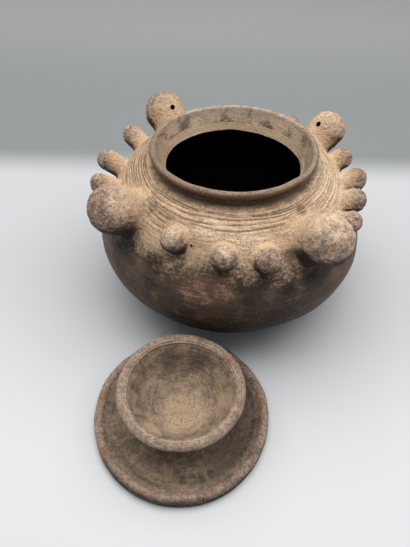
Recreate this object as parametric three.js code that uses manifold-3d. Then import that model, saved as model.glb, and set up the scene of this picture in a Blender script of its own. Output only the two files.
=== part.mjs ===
// Libation jar: a round hand-built pot with a ring of knobs on its shoulder, and a lid with a cup as handle.
// The lid is taken off and lies in front of the jar. Millimetres, +Z up, -Y is the front.
// The origin is the middle of the jar's flat base, on the surface that both of them stand on.

import * as THREE from "three";
import { mergeVertices } from "three/addons/utils/BufferGeometryUtils.js";
import Module from "manifold-3d";

const wasm = await Module();
wasm.setup();

// Every piece is stuck to the next with a film of slip this thick
const SLIP = 0.3;

// Belly: the lower bowl and the shoulder that closes over it
const BELLY_RADIUS = 130;
const BELLY_HEIGHT = 68;
const BASE_FLAT_RADIUS = 42;
const BELLY_WALL = 8;
const BOWL_FLOOR = 9;

// Shoulder: two smooth curves, steep above the belly and nearly flat at the crown
const CROWN_HEIGHT = 147;
const SHOULDER_RISE = 12;
const CROWN_REACH = 25;

// Neck and lip: the lip stands this far out from the throat and this far over the crown. The neck is an
// oval, with this share of its width from front to back.
const THROAT_RADIUS = 62;
const NECK_FOOT_WIDTH = 7;
const LIP_FLARE = 15;
const NECK_RISE = 14.3;
const NECK_DEPTH_SHARE = 0.92;
const LIP_THICKNESS = 6.6;
const LIP_ROUND = [-35, 160];

// Lines combed into the crown, counted down from the neck
const COMB_LINES = 9;
const COMB_PITCH = 2.25;
const COMB_WIDTH = 1.4;
const COMB_DEPTH = 0.7;
const COMB_START = 11.5;

// Knobs: large hollow balls with a vent, and small solid pegs
const LARGE_LIFT = 17;
const LARGE_WALL = 8;
const LARGE_WAIST = 0.8;
const SMALL_WAIST = 0.92;
const FOOT_FLARE = 2;
const FOOT_EDGE = 1.2;
const VENT_RADIUS = 2.2;
const FRONT_TILT = 30;
const BACK_TILT = 40;
const FRONT_TURN = 30;

// The ring of knobs, going round from the front to the right. lift is the height of the ball's middle over
// the shoulder, seat is how far up the shoulder it sits, from the belly (0) to the crown (1), and gap is its
// share of the bare shoulder, up to the next knob. vent is the tilt of a large knob's vent, and turn is how
// far it is turned from the mouth towards the back of the jar.
const FIRST_AZIMUTH = 14.4;
const KNOB_RING = [
  { name: "small_knob_front_3", radius: 12.1, lift: 5, seat: 0.555, gap: 3.2 },
  { name: "large_knob_front_right", radius: 22.9, vent: FRONT_TILT, turn: -FRONT_TURN, seat: 0.58, gap: 1 },
  { name: "small_knob_right_1", radius: 10, lift: 11, seat: 0.52, gap: 0.8 },
  { name: "small_knob_right_2", radius: 10.9, lift: 9, seat: 0.55, gap: 2.4 },
  { name: "small_knob_right_3", radius: 11, lift: 10, seat: 0.53, gap: 1.5 },
  { name: "small_knob_right_4", radius: 10.2, lift: 8, seat: 0.58, gap: 1.3 },
  { name: "large_knob_back_right", radius: 18.4, vent: BACK_TILT, turn: 0, seat: 0.6, gap: 4.6 },
  { name: "small_knob_back_1", radius: 10.3, lift: 9, seat: 0.5, gap: 10.7 },
  { name: "small_knob_back_2", radius: 10.5, lift: 7, seat: 0.46, gap: 9.8 },
  { name: "small_knob_back_3", radius: 10.3, lift: 7, seat: 0.46, gap: 4.3 },
  { name: "large_knob_back_left", radius: 20.7, vent: BACK_TILT, turn: 0, seat: 0.6, gap: 1.4 },
  { name: "small_knob_left_1", radius: 10.5, lift: 14, seat: 0.51, gap: 9.2 },
  { name: "small_knob_left_2", radius: 10.3, lift: 15.5, seat: 0.5, gap: 3.9 },
  { name: "small_knob_left_3", radius: 9.9, lift: 15.5, seat: 0.49, gap: 4.2 },
  { name: "large_knob_front_left", radius: 22.9, vent: FRONT_TILT, turn: FRONT_TURN, seat: 0.575, gap: 10.7 },
  { name: "small_knob_front_1", radius: 11.5, lift: 5, seat: 0.63, gap: 8.4 },
  { name: "small_knob_front_2", radius: 11.3, lift: 5, seat: 0.585, gap: 4.3 },
];

// Lid plate: as wide as the jar's lip, with a trough inside its rolled edge and a boss that rises from it
const PLATE_ROLL = 10;
const PLATE_ROLL_ROUND = [-90, 125];
const TROUGH_DEPTH = 3;
const BOSS_RISE = 6;

// Lid cup: its lip stands this far over the boss, and its stem is drawn in this far from its foot. The hollow
// bends round a corner that lies this share of the way in from the lip to the floor.
const CUP_RADIUS = 54;
const CUP_RISE = 37.5;
const CUP_LIP = 7;
const CUP_LIP_ROUND = [-50, 165];
const CUP_FOOT_RADIUS = 34;
const CUP_WAIST = 2;
const CUP_FLOOR = 11;
const CUP_FLOOR_RADIUS = 14;
const CUP_HOLLOW = 0.5;

// Where the lid lies: its direction from the front and the gap between its cup and the jar's belly, in plan
const LID_AZIMUTH = -12.9;
const LID_GAP = 2.7;

// Fineness of the round forms
const BODY_SIDES = 40;
const LID_SIDES = 36;
const LARGE_SIDES = 16;
const SMALL_SIDES = 12;
const CURVE_STEPS = 8;
const DOME_STEPS = 4;
const BEND_STEPS = 4;
const EDGE_STEPS = 6;
const VENT_SIDES = 8;

// Fired clay in its own tones: smoked belly, dusty shoulder, worn knobs and the lid
const CLAY = {
  belly: 0x4a3d33,
  shoulder: 0x8c7357,
  rim: 0x57473c,
  knob: 0x7d6653,
  lid: 0x5c4c40,
};

const point = (radius, height) => new THREE.Vector2(radius, height);

function clay(tone) {
  return new THREE.MeshStandardMaterial({ color: CLAY[tone], roughness: 0.9, metalness: 0 });
}

// Joins shared corners and drops the empty triangles at a pole, so that the surface is closed
function closedSurface(geometry) {
  geometry.deleteAttribute("normal");
  geometry.deleteAttribute("uv");
  const surface = mergeVertices(geometry);
  const corners = surface.index.array;
  const kept = [];
  for (let i = 0; i < corners.length; i += 3) {
    const [a, b, c] = corners.slice(i, i + 3);
    if (a !== b && b !== c && c !== a) kept.push(a, b, c);
  }
  surface.setIndex(kept);
  return surface;
}

// Turns an outline of (radius, height) points about the Z axis
function turned(outline, sides) {
  return closedSurface(new THREE.LatheGeometry(outline, sides).rotateX(Math.PI / 2));
}

function solidOf(geometry) {
  const vertProperties = new Float32Array(geometry.attributes.position.array);
  const triVerts = new Uint32Array(geometry.index.array);
  return new wasm.Manifold(new wasm.Mesh({ numProp: 3, vertProperties, triVerts }));
}

function geometryOf(solid) {
  const mesh = solid.getMesh();
  const geometry = new THREE.BufferGeometry();
  geometry.setAttribute("position", new THREE.BufferAttribute(mesh.vertProperties, 3));
  geometry.setIndex(new THREE.BufferAttribute(mesh.triVerts, 1));
  return geometry;
}

function piece(name, geometry, tone) {
  geometry.computeVertexNormals();
  const mesh = new THREE.Mesh(geometry, clay(tone));
  mesh.name = name;
  return mesh;
}

// Points on a round stretch from one angle to another, in degrees, 0 pointing outwards and 90 up
function arc(centre, radius, [from, to], steps) {
  return Array.from({ length: steps + 1 }, (_, i) => {
    const angle = THREE.MathUtils.degToRad(from + ((to - from) * i) / steps);
    return point(centre.x + radius * Math.cos(angle), centre.y + radius * Math.sin(angle));
  });
}

// Points on a curve that leaves one point towards a corner and arrives at the other from it
function bend(from, corner, to) {
  return new THREE.QuadraticBezierCurve(from, corner, to).getPoints(BEND_STEPS);
}

// Sizes that several pieces share
const neckFootRadius = THROAT_RADIUS + NECK_FOOT_WIDTH;
const lipRadius = THROAT_RADIUS + LIP_FLARE;
const troughHeight = PLATE_ROLL - TROUGH_DEPTH;
const bossHeight = troughHeight + BOSS_RISE;

// Lower half of an ellipse that hangs from the belly line, from the axis or a flat outwards
function bowlCurve(radius, depth, fromRadius) {
  const start = Math.asin(fromRadius / radius);
  return Array.from({ length: CURVE_STEPS + 1 }, (_, i) => {
    const angle = start + ((Math.PI / 2 - start) * i) / CURVE_STEPS;
    return point(radius * Math.sin(angle), BELLY_HEIGHT - depth * Math.cos(angle));
  });
}

function baseBowl() {
  const depth = BELLY_HEIGHT / Math.sqrt(1 - (BASE_FLAT_RADIUS / BELLY_RADIUS) ** 2);
  const outside = bowlCurve(BELLY_RADIUS, depth, BASE_FLAT_RADIUS);
  const inside = bowlCurve(BELLY_RADIUS - BELLY_WALL, BELLY_HEIGHT - BOWL_FLOOR, 0);
  return turned([point(0, 0), ...outside, ...inside.reverse()], BODY_SIDES);
}

// The shoulder's outside, from the belly line up to the foot of the neck
const bellyCorner = point(BELLY_RADIUS, BELLY_HEIGHT + SHOULDER_RISE);
const crownCorner = point(neckFootRadius + CROWN_REACH, CROWN_HEIGHT);
const slopeMiddle = bellyCorner.clone().lerp(crownCorner, 0.5);
const shoulderCurve = new THREE.Path()
  .moveTo(BELLY_RADIUS, BELLY_HEIGHT + SLIP)
  .quadraticCurveTo(bellyCorner.x, bellyCorner.y, slopeMiddle.x, slopeMiddle.y)
  .quadraticCurveTo(crownCorner.x, crownCorner.y, neckFootRadius, CROWN_HEIGHT);
const shoulderLength = shoulderCurve.getLength();

// The shoulder's outward direction in its own section, at a share of its length
function shoulderNormal(share) {
  const along = shoulderCurve.getTangentAt(share);
  return point(along.y, -along.x);
}

// A point on the shoulder's section, moved outwards by a distance
function shoulderPoint(share, out) {
  return shoulderCurve.getPointAt(share).addScaledVector(shoulderNormal(share), out);
}

const shares = (count) => Array.from({ length: count + 1 }, (_, i) => i / count);

// Each combed line is a small V across the section: its lower edge, its bottom and its upper edge
function combedOutside() {
  const lines = Array.from({ length: COMB_LINES }, (_, i) => COMB_START + i * COMB_PITCH);
  const half = COMB_WIDTH / 2;
  const marks = shares(2 * CURVE_STEPS).map((share) => ({ down: shoulderLength * (1 - share), out: 0 }));
  const bare = marks.filter((mark) => lines.every((line) => Math.abs(mark.down - line) > COMB_WIDTH));
  const cuts = lines.flatMap((line) => [
    { down: line + half, out: 0 },
    { down: line, out: -COMB_DEPTH },
    { down: line - half, out: 0 },
  ]);
  const ordered = [...bare, ...cuts].sort((a, b) => b.down - a.down);
  return ordered.map((mark) => shoulderPoint(1 - mark.down / shoulderLength, mark.out));
}

function shoulder() {
  const inside = shares(CURVE_STEPS).map((share) => shoulderPoint(share, -BELLY_WALL));
  inside[0].y = BELLY_HEIGHT + SLIP;
  const throat = bend(
    point(THROAT_RADIUS, CROWN_HEIGHT),
    point(THROAT_RADIUS, CROWN_HEIGHT - BELLY_WALL),
    point(neckFootRadius, CROWN_HEIGHT - BELLY_WALL),
  );
  const outline = [...combedOutside(), ...throat, ...inside.reverse().slice(1)];
  return turned([...outline, outline[0].clone()], BODY_SIDES);
}

function neckRim() {
  const foot = CROWN_HEIGHT + SLIP;
  const half = LIP_THICKNESS / 2;
  const lip = point(lipRadius - half, CROWN_HEIGHT + NECK_RISE - half);
  const lipRound = arc(lip, half, LIP_ROUND, EDGE_STEPS);
  const under = lipRound[0];
  const over = lipRound.at(-1);
  const outside = bend(point(neckFootRadius, foot), point(neckFootRadius, under.y - half), under);
  const funnel = bend(over, point(THROAT_RADIUS, lip.y), point(THROAT_RADIUS, foot));
  const outline = [...outside.slice(0, -1), ...lipRound, ...funnel.slice(1), outside[0].clone()];
  return turned(outline, BODY_SIDES).scale(1, NECK_DEPTH_SHARE, 1);
}

// Section of a knob about its own axis, with 0 height on the shoulder: foot, waist and ball
function knobOutline(radius, lift, waist) {
  const foot = radius * waist + FOOT_FLARE;
  const waistHeight = Math.max(lift - radius * Math.sqrt(1 - waist ** 2), FOOT_EDGE + FOOT_FLARE);
  const waistAngle = THREE.MathUtils.radToDeg(Math.asin((waistHeight - lift) / radius));
  const ball = arc(point(0, lift), radius, [waistAngle, 90], DOME_STEPS);
  ball.at(-1).x = 0;
  const flare = bend(point(foot, FOOT_EDGE), point(ball[0].x, FOOT_EDGE), ball[0]);
  return [point(0, -radius), point(foot, -radius), ...flare.slice(0, -1), ...ball];
}

// The frame of a knob: its axis stands on the shoulder, square to it
function knobFrame(azimuth, share) {
  const seat = shoulderPoint(share, 0);
  const normal = shoulderNormal(share);
  const outwards = new THREE.Vector3(Math.sin(azimuth), -Math.cos(azimuth), 0);
  const axis = outwards.clone().multiplyScalar(normal.x).setZ(normal.y);
  const around = new THREE.Vector3(Math.cos(azimuth), Math.sin(azimuth), 0);
  const frame = new THREE.Matrix4().makeBasis(around, axis.clone().cross(around), axis);
  return frame.setPosition(outwards.clone().multiplyScalar(seat.x).setZ(seat.y));
}

// The shoulder with its film of slip, filled in, which is what the knobs' feet are shaped to
const slipped = shares(2 * CURVE_STEPS).map((share) => shoulderPoint(share, SLIP));
const slippedTop = point(0, slipped.at(-1).y);
const slippedFoot = [point(0, BELLY_HEIGHT), point(slipped[0].x, BELLY_HEIGHT)];
const slippedShoulder = solidOf(turned([...slippedFoot, ...slipped, slippedTop], BODY_SIDES));

function smallKnob(knob) {
  const outline = knobOutline(knob.radius, knob.lift, SMALL_WAIST);
  const peg = turned(outline, SMALL_SIDES).applyMatrix4(knobFrame(knob.azimuth, knob.seat));
  return geometryOf(solidOf(peg).subtract(slippedShoulder));
}

// A large knob is hollow, and its vent points in over the shoulder
function largeKnob(knob) {
  const frame = knobFrame(knob.azimuth, knob.seat);
  const outline = knobOutline(knob.radius, LARGE_LIFT, LARGE_WAIST);
  const ball = turned(outline, LARGE_SIDES).applyMatrix4(frame);
  const middle = new THREE.Vector3(0, 0, LARGE_LIFT).applyMatrix4(frame);
  const hollow = new THREE.SphereGeometry(knob.radius - LARGE_WALL, SMALL_SIDES, SMALL_SIDES / 2);
  hollow.translate(middle.x, middle.y, middle.z);

  const tilt = THREE.MathUtils.degToRad(knob.vent);
  const facing = knob.azimuth + THREE.MathUtils.degToRad(knob.turn);
  const inwards = new THREE.Vector3(-Math.sin(facing), Math.cos(facing), 0);
  const direction = inwards.multiplyScalar(Math.cos(tilt)).setZ(Math.sin(tilt));
  const length = knob.radius + FOOT_FLARE;
  const vent = new THREE.CylinderGeometry(VENT_RADIUS, VENT_RADIUS, length, VENT_SIDES);
  vent.translate(0, length / 2, 0);
  vent.applyQuaternion(new THREE.Quaternion().setFromUnitVectors(new THREE.Vector3(0, 1, 0), direction));
  vent.translate(middle.x, middle.y, middle.z);

  const shell = solidOf(ball).subtract(slippedShoulder);
  return geometryOf(shell.subtract(solidOf(closedSurface(hollow))).subtract(solidOf(closedSurface(vent))));
}

// Goes round the ring: each knob takes the angle of its foot, and the rest is shared out between them
function placedKnobs() {
  const halfAngles = KNOB_RING.map((knob) => {
    return Math.asin((knob.radius + FOOT_FLARE) / shoulderPoint(knob.seat, 0).x);
  });
  const taken = halfAngles.reduce((sum, half) => sum + 2 * half, 0);
  const gaps = KNOB_RING.reduce((sum, knob) => sum + knob.gap, 0);
  const perGap = (2 * Math.PI - taken) / gaps;
  let azimuth = THREE.MathUtils.degToRad(FIRST_AZIMUTH) - halfAngles[0];
  return KNOB_RING.map((knob, i) => {
    const placed = { ...knob, azimuth: azimuth + halfAngles[i] };
    azimuth += 2 * halfAngles[i] + perGap * knob.gap;
    return placed;
  });
}

// A flat-bottomed plate with a rolled edge, a shallow trough and a boss that the cup stands on
function lidPlate() {
  const half = PLATE_ROLL / 2;
  const roll = point(lipRadius - half, half);
  const edge = arc(roll, half, PLATE_ROLL_ROUND, EDGE_STEPS);
  const inner = edge.at(-1);
  const trough = point(roll.x - PLATE_ROLL, troughHeight);
  const boss = point(CUP_FOOT_RADIUS, bossHeight);
  const dip = bend(inner, point(trough.x + half, troughHeight), trough).slice(1);
  const rise = bend(trough, point(boss.x + half, troughHeight), boss).slice(1);
  return turned([point(0, 0), ...edge, ...dip, ...rise, point(0, bossHeight)], LID_SIDES);
}

// A flared cup on a short solid stem
function lidCup() {
  const foot = bossHeight + SLIP;
  const half = CUP_LIP / 2;
  const lip = point(CUP_RADIUS - half, bossHeight + CUP_RISE - half);
  const floor = foot + CUP_FLOOR;
  const lipRound = arc(lip, half, CUP_LIP_ROUND, EDGE_STEPS);
  const under = lipRound[0];
  const over = lipRound.at(-1);
  const stem = point(CUP_FOOT_RADIUS - CUP_WAIST, (foot + under.y) / 2);
  const outside = bend(point(CUP_FOOT_RADIUS, foot), stem, under);
  const corner = point(THREE.MathUtils.lerp(over.x, CUP_FLOOR_RADIUS, CUP_HOLLOW), floor);
  const inside = bend(over, corner, point(CUP_FLOOR_RADIUS, floor));
  const outline = [point(0, foot), ...outside.slice(0, -1), ...lipRound, ...inside.slice(1), point(0, floor)];
  return turned(outline, LID_SIDES);
}

const jar = new THREE.Group();
jar.add(piece("base_bowl", baseBowl(), "belly"));
jar.add(piece("shoulder", shoulder(), "shoulder"));
jar.add(piece("neck_rim", neckRim(), "rim"));
for (const knob of placedKnobs()) {
  const geometry = knob.vent ? largeKnob(knob) : smallKnob(knob);
  jar.add(piece(knob.name, geometry, "knob"));
}

const lid = new THREE.Group();
const lidDistance = BELLY_RADIUS + CUP_RADIUS + LID_GAP;
const lidAzimuth = THREE.MathUtils.degToRad(LID_AZIMUTH);
lid.position.set(lidDistance * Math.sin(lidAzimuth), -lidDistance * Math.cos(lidAzimuth), 0);
lid.add(piece("lid_plate", lidPlate(), "lid"));
lid.add(piece("lid_cup", lidCup(), "lid"));

const libationJar = new THREE.Group();
libationJar.add(jar, lid);

export default libationJar;
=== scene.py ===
import math

import bpy
from mathutils import Color, Matrix, Vector


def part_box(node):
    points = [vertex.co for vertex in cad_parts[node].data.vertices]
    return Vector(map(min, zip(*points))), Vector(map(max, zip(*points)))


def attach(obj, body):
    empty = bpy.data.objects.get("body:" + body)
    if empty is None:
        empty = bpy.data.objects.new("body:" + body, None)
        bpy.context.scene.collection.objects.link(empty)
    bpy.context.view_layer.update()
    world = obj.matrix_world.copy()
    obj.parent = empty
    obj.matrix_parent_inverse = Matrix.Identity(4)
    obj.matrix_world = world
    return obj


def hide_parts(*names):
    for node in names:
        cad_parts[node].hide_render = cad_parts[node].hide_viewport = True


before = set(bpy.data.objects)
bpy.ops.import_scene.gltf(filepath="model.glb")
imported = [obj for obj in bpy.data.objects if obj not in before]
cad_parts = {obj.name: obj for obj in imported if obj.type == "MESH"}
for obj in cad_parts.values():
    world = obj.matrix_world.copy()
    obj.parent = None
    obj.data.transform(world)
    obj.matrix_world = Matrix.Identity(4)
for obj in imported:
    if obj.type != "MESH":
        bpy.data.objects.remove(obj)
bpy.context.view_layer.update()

bl_info = {
    "name": "Libation Jar",
    "version": (1, 0, 0),
    "blender": (4, 5, 0),
    "location": "3D View > Sidebar > Jar",
    "description": "A hand-built clay jar with a ring of knobs, and its lid with a cup as handle",
    "category": "Add Mesh",
}

MM = 0.001

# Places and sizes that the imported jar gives
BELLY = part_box("base_bowl")[1]
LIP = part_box("neck_rim")[1]
NECK_DEPTH_SHARE = LIP.y / LIP.x
CROWN_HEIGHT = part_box("shoulder")[1].z
THROAT_RADIUS = min(corner.co.xy.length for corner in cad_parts["shoulder"].data.vertices)
BASE_RADIUS = max(c.co.xy.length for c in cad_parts["base_bowl"].data.vertices if c.co.z < 0.1 * MM)
PLATE_LOW, PLATE_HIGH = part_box("lid_plate")
CUP_LOW, CUP_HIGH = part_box("lid_cup")
LID_CENTRE = (PLATE_LOW + PLATE_HIGH).xy / 2
PLATE_HALF = (PLATE_HIGH.x - PLATE_LOW.x) / 2
LARGE_KNOBS = [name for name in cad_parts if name.startswith("large_knob")]
SMALL_KNOBS = [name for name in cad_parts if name.startswith("small_knob")]

# Lines that run towards the knobs' middles all pass close to this height on the jar's axis
KNOB_AIM = Vector((0, 0, 37 * MM))

# A knob's foot: how deep its root and its skirt's edge lie in the shoulder, and its flare's least height
ROOT_DEPTH = 2.5 * MM
SKIRT_EDGE = 0.3 * MM
LEAST_FLARE = 4.5 * MM

# How many degrees under its middle a ball may narrow before its foot starts, on large and small knobs
BALL_STEEPEST = 14
PEG_STEEPEST = 4

# Vents: how many degrees they tilt up, and how far the front ones are turned from the mouth to the back
BACK_TILT = 40
FRONT_TILT = 30
FRONT_TURN = 30

# Half the film of slip between two pieces that are joined
HALF_SLIP = 0.15 * MM

# Radius of the small disc that every round floor starts from
CORE = 1.0 * MM

# A pit where something burnt out of the clay, and a crumb of clay across the combed lines
PIT = Vector((-35.8, -96.4, 127.7)) * MM
CRUMB = Vector((-26.6, -74.2, 145.4)) * MM

# Combed lines that go on round the front of the crown; the outer ones stop short of it
FRONT_LINES = 5

# Combed strokes: how many make a line, how they are placed round it, and their lengths, in degrees
STROKES = 3
STROKE_STEP = 120
LINE_SHIFT = 37
STROKE_LENGTH = 128
LENGTH_STEP = 9

# How far under the crown's top combed lines may lie, and where the crown's fine rings start
COMB_BAND = 20 * MM
CROWN_BAND = 25 * MM

# Where painted shade is strongest in the corner beside the lid's roll: degrees round from the front, and
# each one's reach
CREASE_SHADES = ((-38, 34), (84, 46))

# Painted shade on the front of the lid's roll: degrees round to its middle, and from there to its full dark
# and its end
DARK_FRONT = -14
DARK_FULL = 24
DARK_END = 62

# Sizes of the unevenness that hands and temper leave in the clay
LUMP_SIZE = 34 * MM
DENT_SIZE = 9 * MM
GRIT_SIZE = 3.4 * MM

# A point in the jar's hollow, which its inner walls face
JAR_MIDDLE = Vector((0, 0, 78 * MM))

# Finish: depth of the finest relief, and the sheen of smoke-rubbed and of dry clay
RELIEF = 0.55 * MM
RUBBED_SHEEN = 0.12
DRY_SHEEN = 0.35

# Fineness: points round a piece and the distance between its rings
JAR_SIDES = 240
LID_SIDES = 180
BALL_SIDES = 32
PEG_SIDES = 24
WIDE_RINGS = 2.7 * MM
FINE_RINGS = 0.8 * MM
HIDDEN_RINGS = 7.0 * MM
HOLE_SIDES = 24
CURVE_STEPS = 40
SMOOTH_ANGLE = math.radians(38)

# Floor, in metres: its size, how far it lies under the jar, and where its tones change from front to back
FLOOR_SIZE = 8.0
FLOOR_DROP = 0.2 * MM
FLOOR_FRONT = (-0.24, 0.03)
FLOOR_TURN_HALF = 0.035
FLOOR_BACK = (0.35, 0.70)
FLOOR_ROUGHNESS = 0.75
FLOOR_SHEEN = 0.2

# Light, in metres: where the softbox hangs, what it is turned to and its size; and the tint of the fill
SOFTBOX_PLACE = Vector((0.04, 0.23, 1.32))
SOFTBOX_AIM = Vector((0, -0.06, 0.05))
SOFTBOX_WIDTH = 2.8
SOFTBOX_DEPTH = 1.6
FILL_TINT = (0.92, 0.96, 1.0, 1.0)

# View: its place in metres, how far it looks down and leans in radians, and its focus in picture rows
EYE = (-0.02385, -0.39290, 0.42425)
LOOK_DOWN = 0.838794
LEAN = 0.021928
FOCUS_ROWS = 509.7
PICTURE_ROWS = 547
SENSOR = 36.0


def length(label, about, default):
    """A size that the user can change, in metres."""
    return bpy.props.FloatProperty(
        name=label,
        description=about,
        default=default,
        min=0.0,
        precision=4,
        subtype="DISTANCE",
        unit="LENGTH",
    )


def tone(label, about, red, green, blue):
    """A colour that the user can change."""
    return bpy.props.FloatVectorProperty(
        name=label, description=about, default=(red, green, blue), size=3, min=0.0, max=1.0, subtype="COLOR"
    )


class JarSizes(bpy.types.PropertyGroup):
    """Sizes of the hand-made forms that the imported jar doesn't fix"""

    wall: length("Wall", "Thickness of the belly's wall", 8 * MM)
    floor: length("Floor", "Thickness of the jar's floor", 9 * MM)
    shoulder_rise: length("Shoulder Rise", "How far the shoulder climbs before it turns in", 12 * MM)
    crown_reach: length("Crown Reach", "How far the flat crown reaches out from the neck", 25 * MM)
    neck_width: length("Neck Width", "Width of the neck's foot", 7 * MM)
    neck_fillet: length("Neck Fillet", "Clay smeared into the corner round the neck", 3 * MM)
    lip: length("Lip", "Thickness of the rounded lip", 6.6 * MM)
    funnel: length("Funnel", "How far the throat closes in below the neck", 4 * MM)
    comb_lines: bpy.props.IntProperty(
        name="Comb Lines", description="Lines combed round the crown", default=9, min=0, max=12
    )
    comb_radius: length("Comb Radius", "Radius of the innermost combed line", 81 * MM)
    comb_pitch: length("Comb Pitch", "Distance between combed lines", 2.25 * MM)
    comb_width: length("Comb Width", "Half the width of a combed line", 0.95 * MM)
    comb_depth: length("Comb Depth", "Depth of a combed line", 0.75 * MM)
    ball_skirt: length("Ball Skirt", "Clay smeared out round a large knob", 10 * MM)
    peg_skirt: length("Peg Skirt", "Clay smeared out round a small knob", 7 * MM)
    vent: length("Vent", "Radius of the vent in a large knob", 2.7 * MM)
    vent_depth: length("Vent Depth", "Depth of the vent", 9 * MM)
    pit: length("Pit", "Radius of the burnt-out pit beside a front knob", 1.3 * MM)
    pit_depth: length("Pit Depth", "Depth of that pit", 4 * MM)
    lumps: length("Lumps", "How uneven the hand-formed walls are", 1.8 * MM)
    dents: length("Dents", "How uneven the skin is between the lumps", 0.6 * MM)
    crumb: length("Crumb", "Height of the crumb of clay stuck on the combed lines", 2.0 * MM)
    grit: length("Grit", "How rough the knobs are", 1.0 * MM)


class LidSizes(bpy.types.PropertyGroup):
    """Sizes of the lid's hand-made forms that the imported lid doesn't fix"""

    roll: length("Roll", "Thickness of the plate's rolled edge", 8.6 * MM)
    trough_depth: length("Trough Depth", "How far the trough lies under the roll", 2.8 * MM)
    crease: length("Crease", "How far the corner beside the roll lies under the roll", 3.4 * MM)
    edge_lift: length("Edge Lift", "How far the roll stays off the floor", 1.6 * MM)
    drawn_out: length("Drawn Out", "How far the plate is drawn out to the front", 3 * MM)
    foot: length("Foot", "Radius of the cup's foot", 34 * MM)
    waist: length("Waist", "How far the cup's stem is drawn in from its foot", 2 * MM)
    lip: length("Cup Lip", "Thickness of the cup's rounded lip", 8.4 * MM)
    floor: length("Cup Floor", "Thickness of the cup's floor", 11 * MM)
    floor_radius: length("Cup Floor Radius", "Radius of the flat in the cup", 14 * MM)
    groove: length("Groove", "Depth of the fine groove inside the cup's lip", 0.7 * MM)
    tooling: length("Tooling", "Height of the turning marks in the cup", 0.05 * MM)
    tooling_pitch: length("Tooling Pitch", "Distance between turning marks", 3.6 * MM)


class ClayColours(bpy.types.PropertyGroup):
    """Tones of the fired clay and of what has settled on it"""

    brown: tone("Brown", "Fired clay", 0.165, 0.104, 0.070)
    umber: tone("Umber", "Fired clay, greyed by smoke", 0.105, 0.076, 0.057)
    red: tone("Red", "Clay that burnt red", 0.270, 0.128, 0.080)
    # Painted shade: the black of the jar's inside and of the knobs' vents.
    hollow: tone("Hollow", "Black inside of the jar", 0.003, 0.003, 0.003)
    # Also used for painted shade: under the knobs, on the knobs' and the lid's undersides, in the lid's
    # creases and trough.
    soot_and_shade: tone("Soot", "Black of the firing and of the fire", 0.010, 0.0078, 0.0062)
    dust: tone("Dust", "Sandy dust on the shoulder", 0.695, 0.480, 0.306)
    drift: tone("Drift", "Dust where it lies thick", 0.850, 0.630, 0.430)
    grain: tone("Grain", "Pale temper grains", 0.760, 0.610, 0.480)
    worn: tone("Worn", "Rubbed tops of the knobs", 0.645, 0.462, 0.350)
    plum: tone("Plum", "Greyish red of the lip", 0.215, 0.145, 0.112)
    olive: tone("Olive", "Brown of the lid", 0.215, 0.156, 0.106)
    ash: tone("Ash", "Pale ash on the back of the lip", 0.720, 0.580, 0.490)
    # Also painted shade on the lip's outside.
    char: tone("Char", "Brown-black outside of the lip", 0.150, 0.072, 0.031)
    orange: tone("Orange", "Bare clay where the skin has worn off", 0.430, 0.190, 0.095)
    rosy: tone("Rosy", "Pinkish red stain on the belly", 0.500, 0.270, 0.190)


class StageSettings(bpy.types.PropertyGroup):
    """Floor, light and view"""

    floor_front: tone("Front Floor", "Floor in front of the lid", 0.752, 0.759, 0.768)
    # Painted shade around the jar.
    shaded_near_floor: tone("Near Floor", "Floor under the jar", 0.600, 0.608, 0.620)
    floor_far: tone("Far Floor", "Floor behind the jar", 0.268, 0.278, 0.277)
    floor_back: tone("Back Floor", "Floor where the view ends", 0.340, 0.348, 0.343)
    floor_turn: length("Floor Turn", "Distance behind the jar's axis where the floor darkens", 190 * MM)
    sky: bpy.props.FloatProperty(
        name="Fill Light", description="Strength of the light from all round", default=0.23, min=0.0
    )
    softbox: bpy.props.FloatProperty(
        name="Softbox", description="Power of the large lamp overhead", default=33.8, min=0.0, unit="POWER"
    )


class LibationJar(bpy.types.PropertyGroup):
    """Everything that the operators read"""

    jar: bpy.props.PointerProperty(type=JarSizes)
    lid: bpy.props.PointerProperty(type=LidSizes)
    clay: bpy.props.PointerProperty(type=ClayColours)
    stage: bpy.props.PointerProperty(type=StageSettings)


def settings():
    """What the user has set."""
    return bpy.context.scene.libation_jar


# Outlines: lists of points (distance from the axis, height)

def point(radius, height):
    """A point of an outline."""
    return Vector((radius, height))


def bend(start, corner, end):
    """Points on a curve that leaves one point towards a corner and arrives at another from it."""
    shares = [step / CURVE_STEPS for step in range(CURVE_STEPS + 1)]
    return [(1 - t) ** 2 * start + 2 * t * (1 - t) * corner + t ** 2 * end for t in shares]


def arc(centre, radius, start, end):
    """Points on a round stretch between two angles in degrees, 0 pointing outwards and 90 up."""
    turns = [start + (end - start) * step / CURVE_STEPS for step in range(CURVE_STEPS + 1)]
    angles = [math.radians(turn) for turn in turns]
    return [centre + radius * point(math.cos(angle), math.sin(angle)) for angle in angles]


def bowl(radius, depth, hang, inner):
    """Points on the lower half of an ellipse that hangs from a height, from an inner radius outwards."""
    start = math.asin(inner / radius)
    steps = 2 * CURVE_STEPS
    angles = [start + (math.pi / 2 - start) * step / steps for step in range(steps + 1)]
    return [point(radius * math.sin(angle), hang - depth * math.cos(angle)) for angle in angles]


def spaced(points, spacing):
    """The same line with its points an even distance apart."""
    steps = [(b - a).length for a, b in zip(points, points[1:])]
    count = max(1, round(sum(steps) / spacing))
    stride = sum(steps) / count
    line = [points[0]]
    walked = 0.0
    for a, b, step in zip(points, points[1:], steps):
        while step > 0 and len(line) < count and walked + step >= len(line) * stride:
            line.append(a.lerp(b, (len(line) * stride - walked) / step))
        walked += step
    return line + [points[-1]]


def run_together(*lines):
    """One line out of several, without the points that two of them share."""
    joined = list(lines[0])
    for line in lines[1:]:
        joined += [p for p in line if (p - joined[-1]).length > 1e-7]
    return joined


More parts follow.
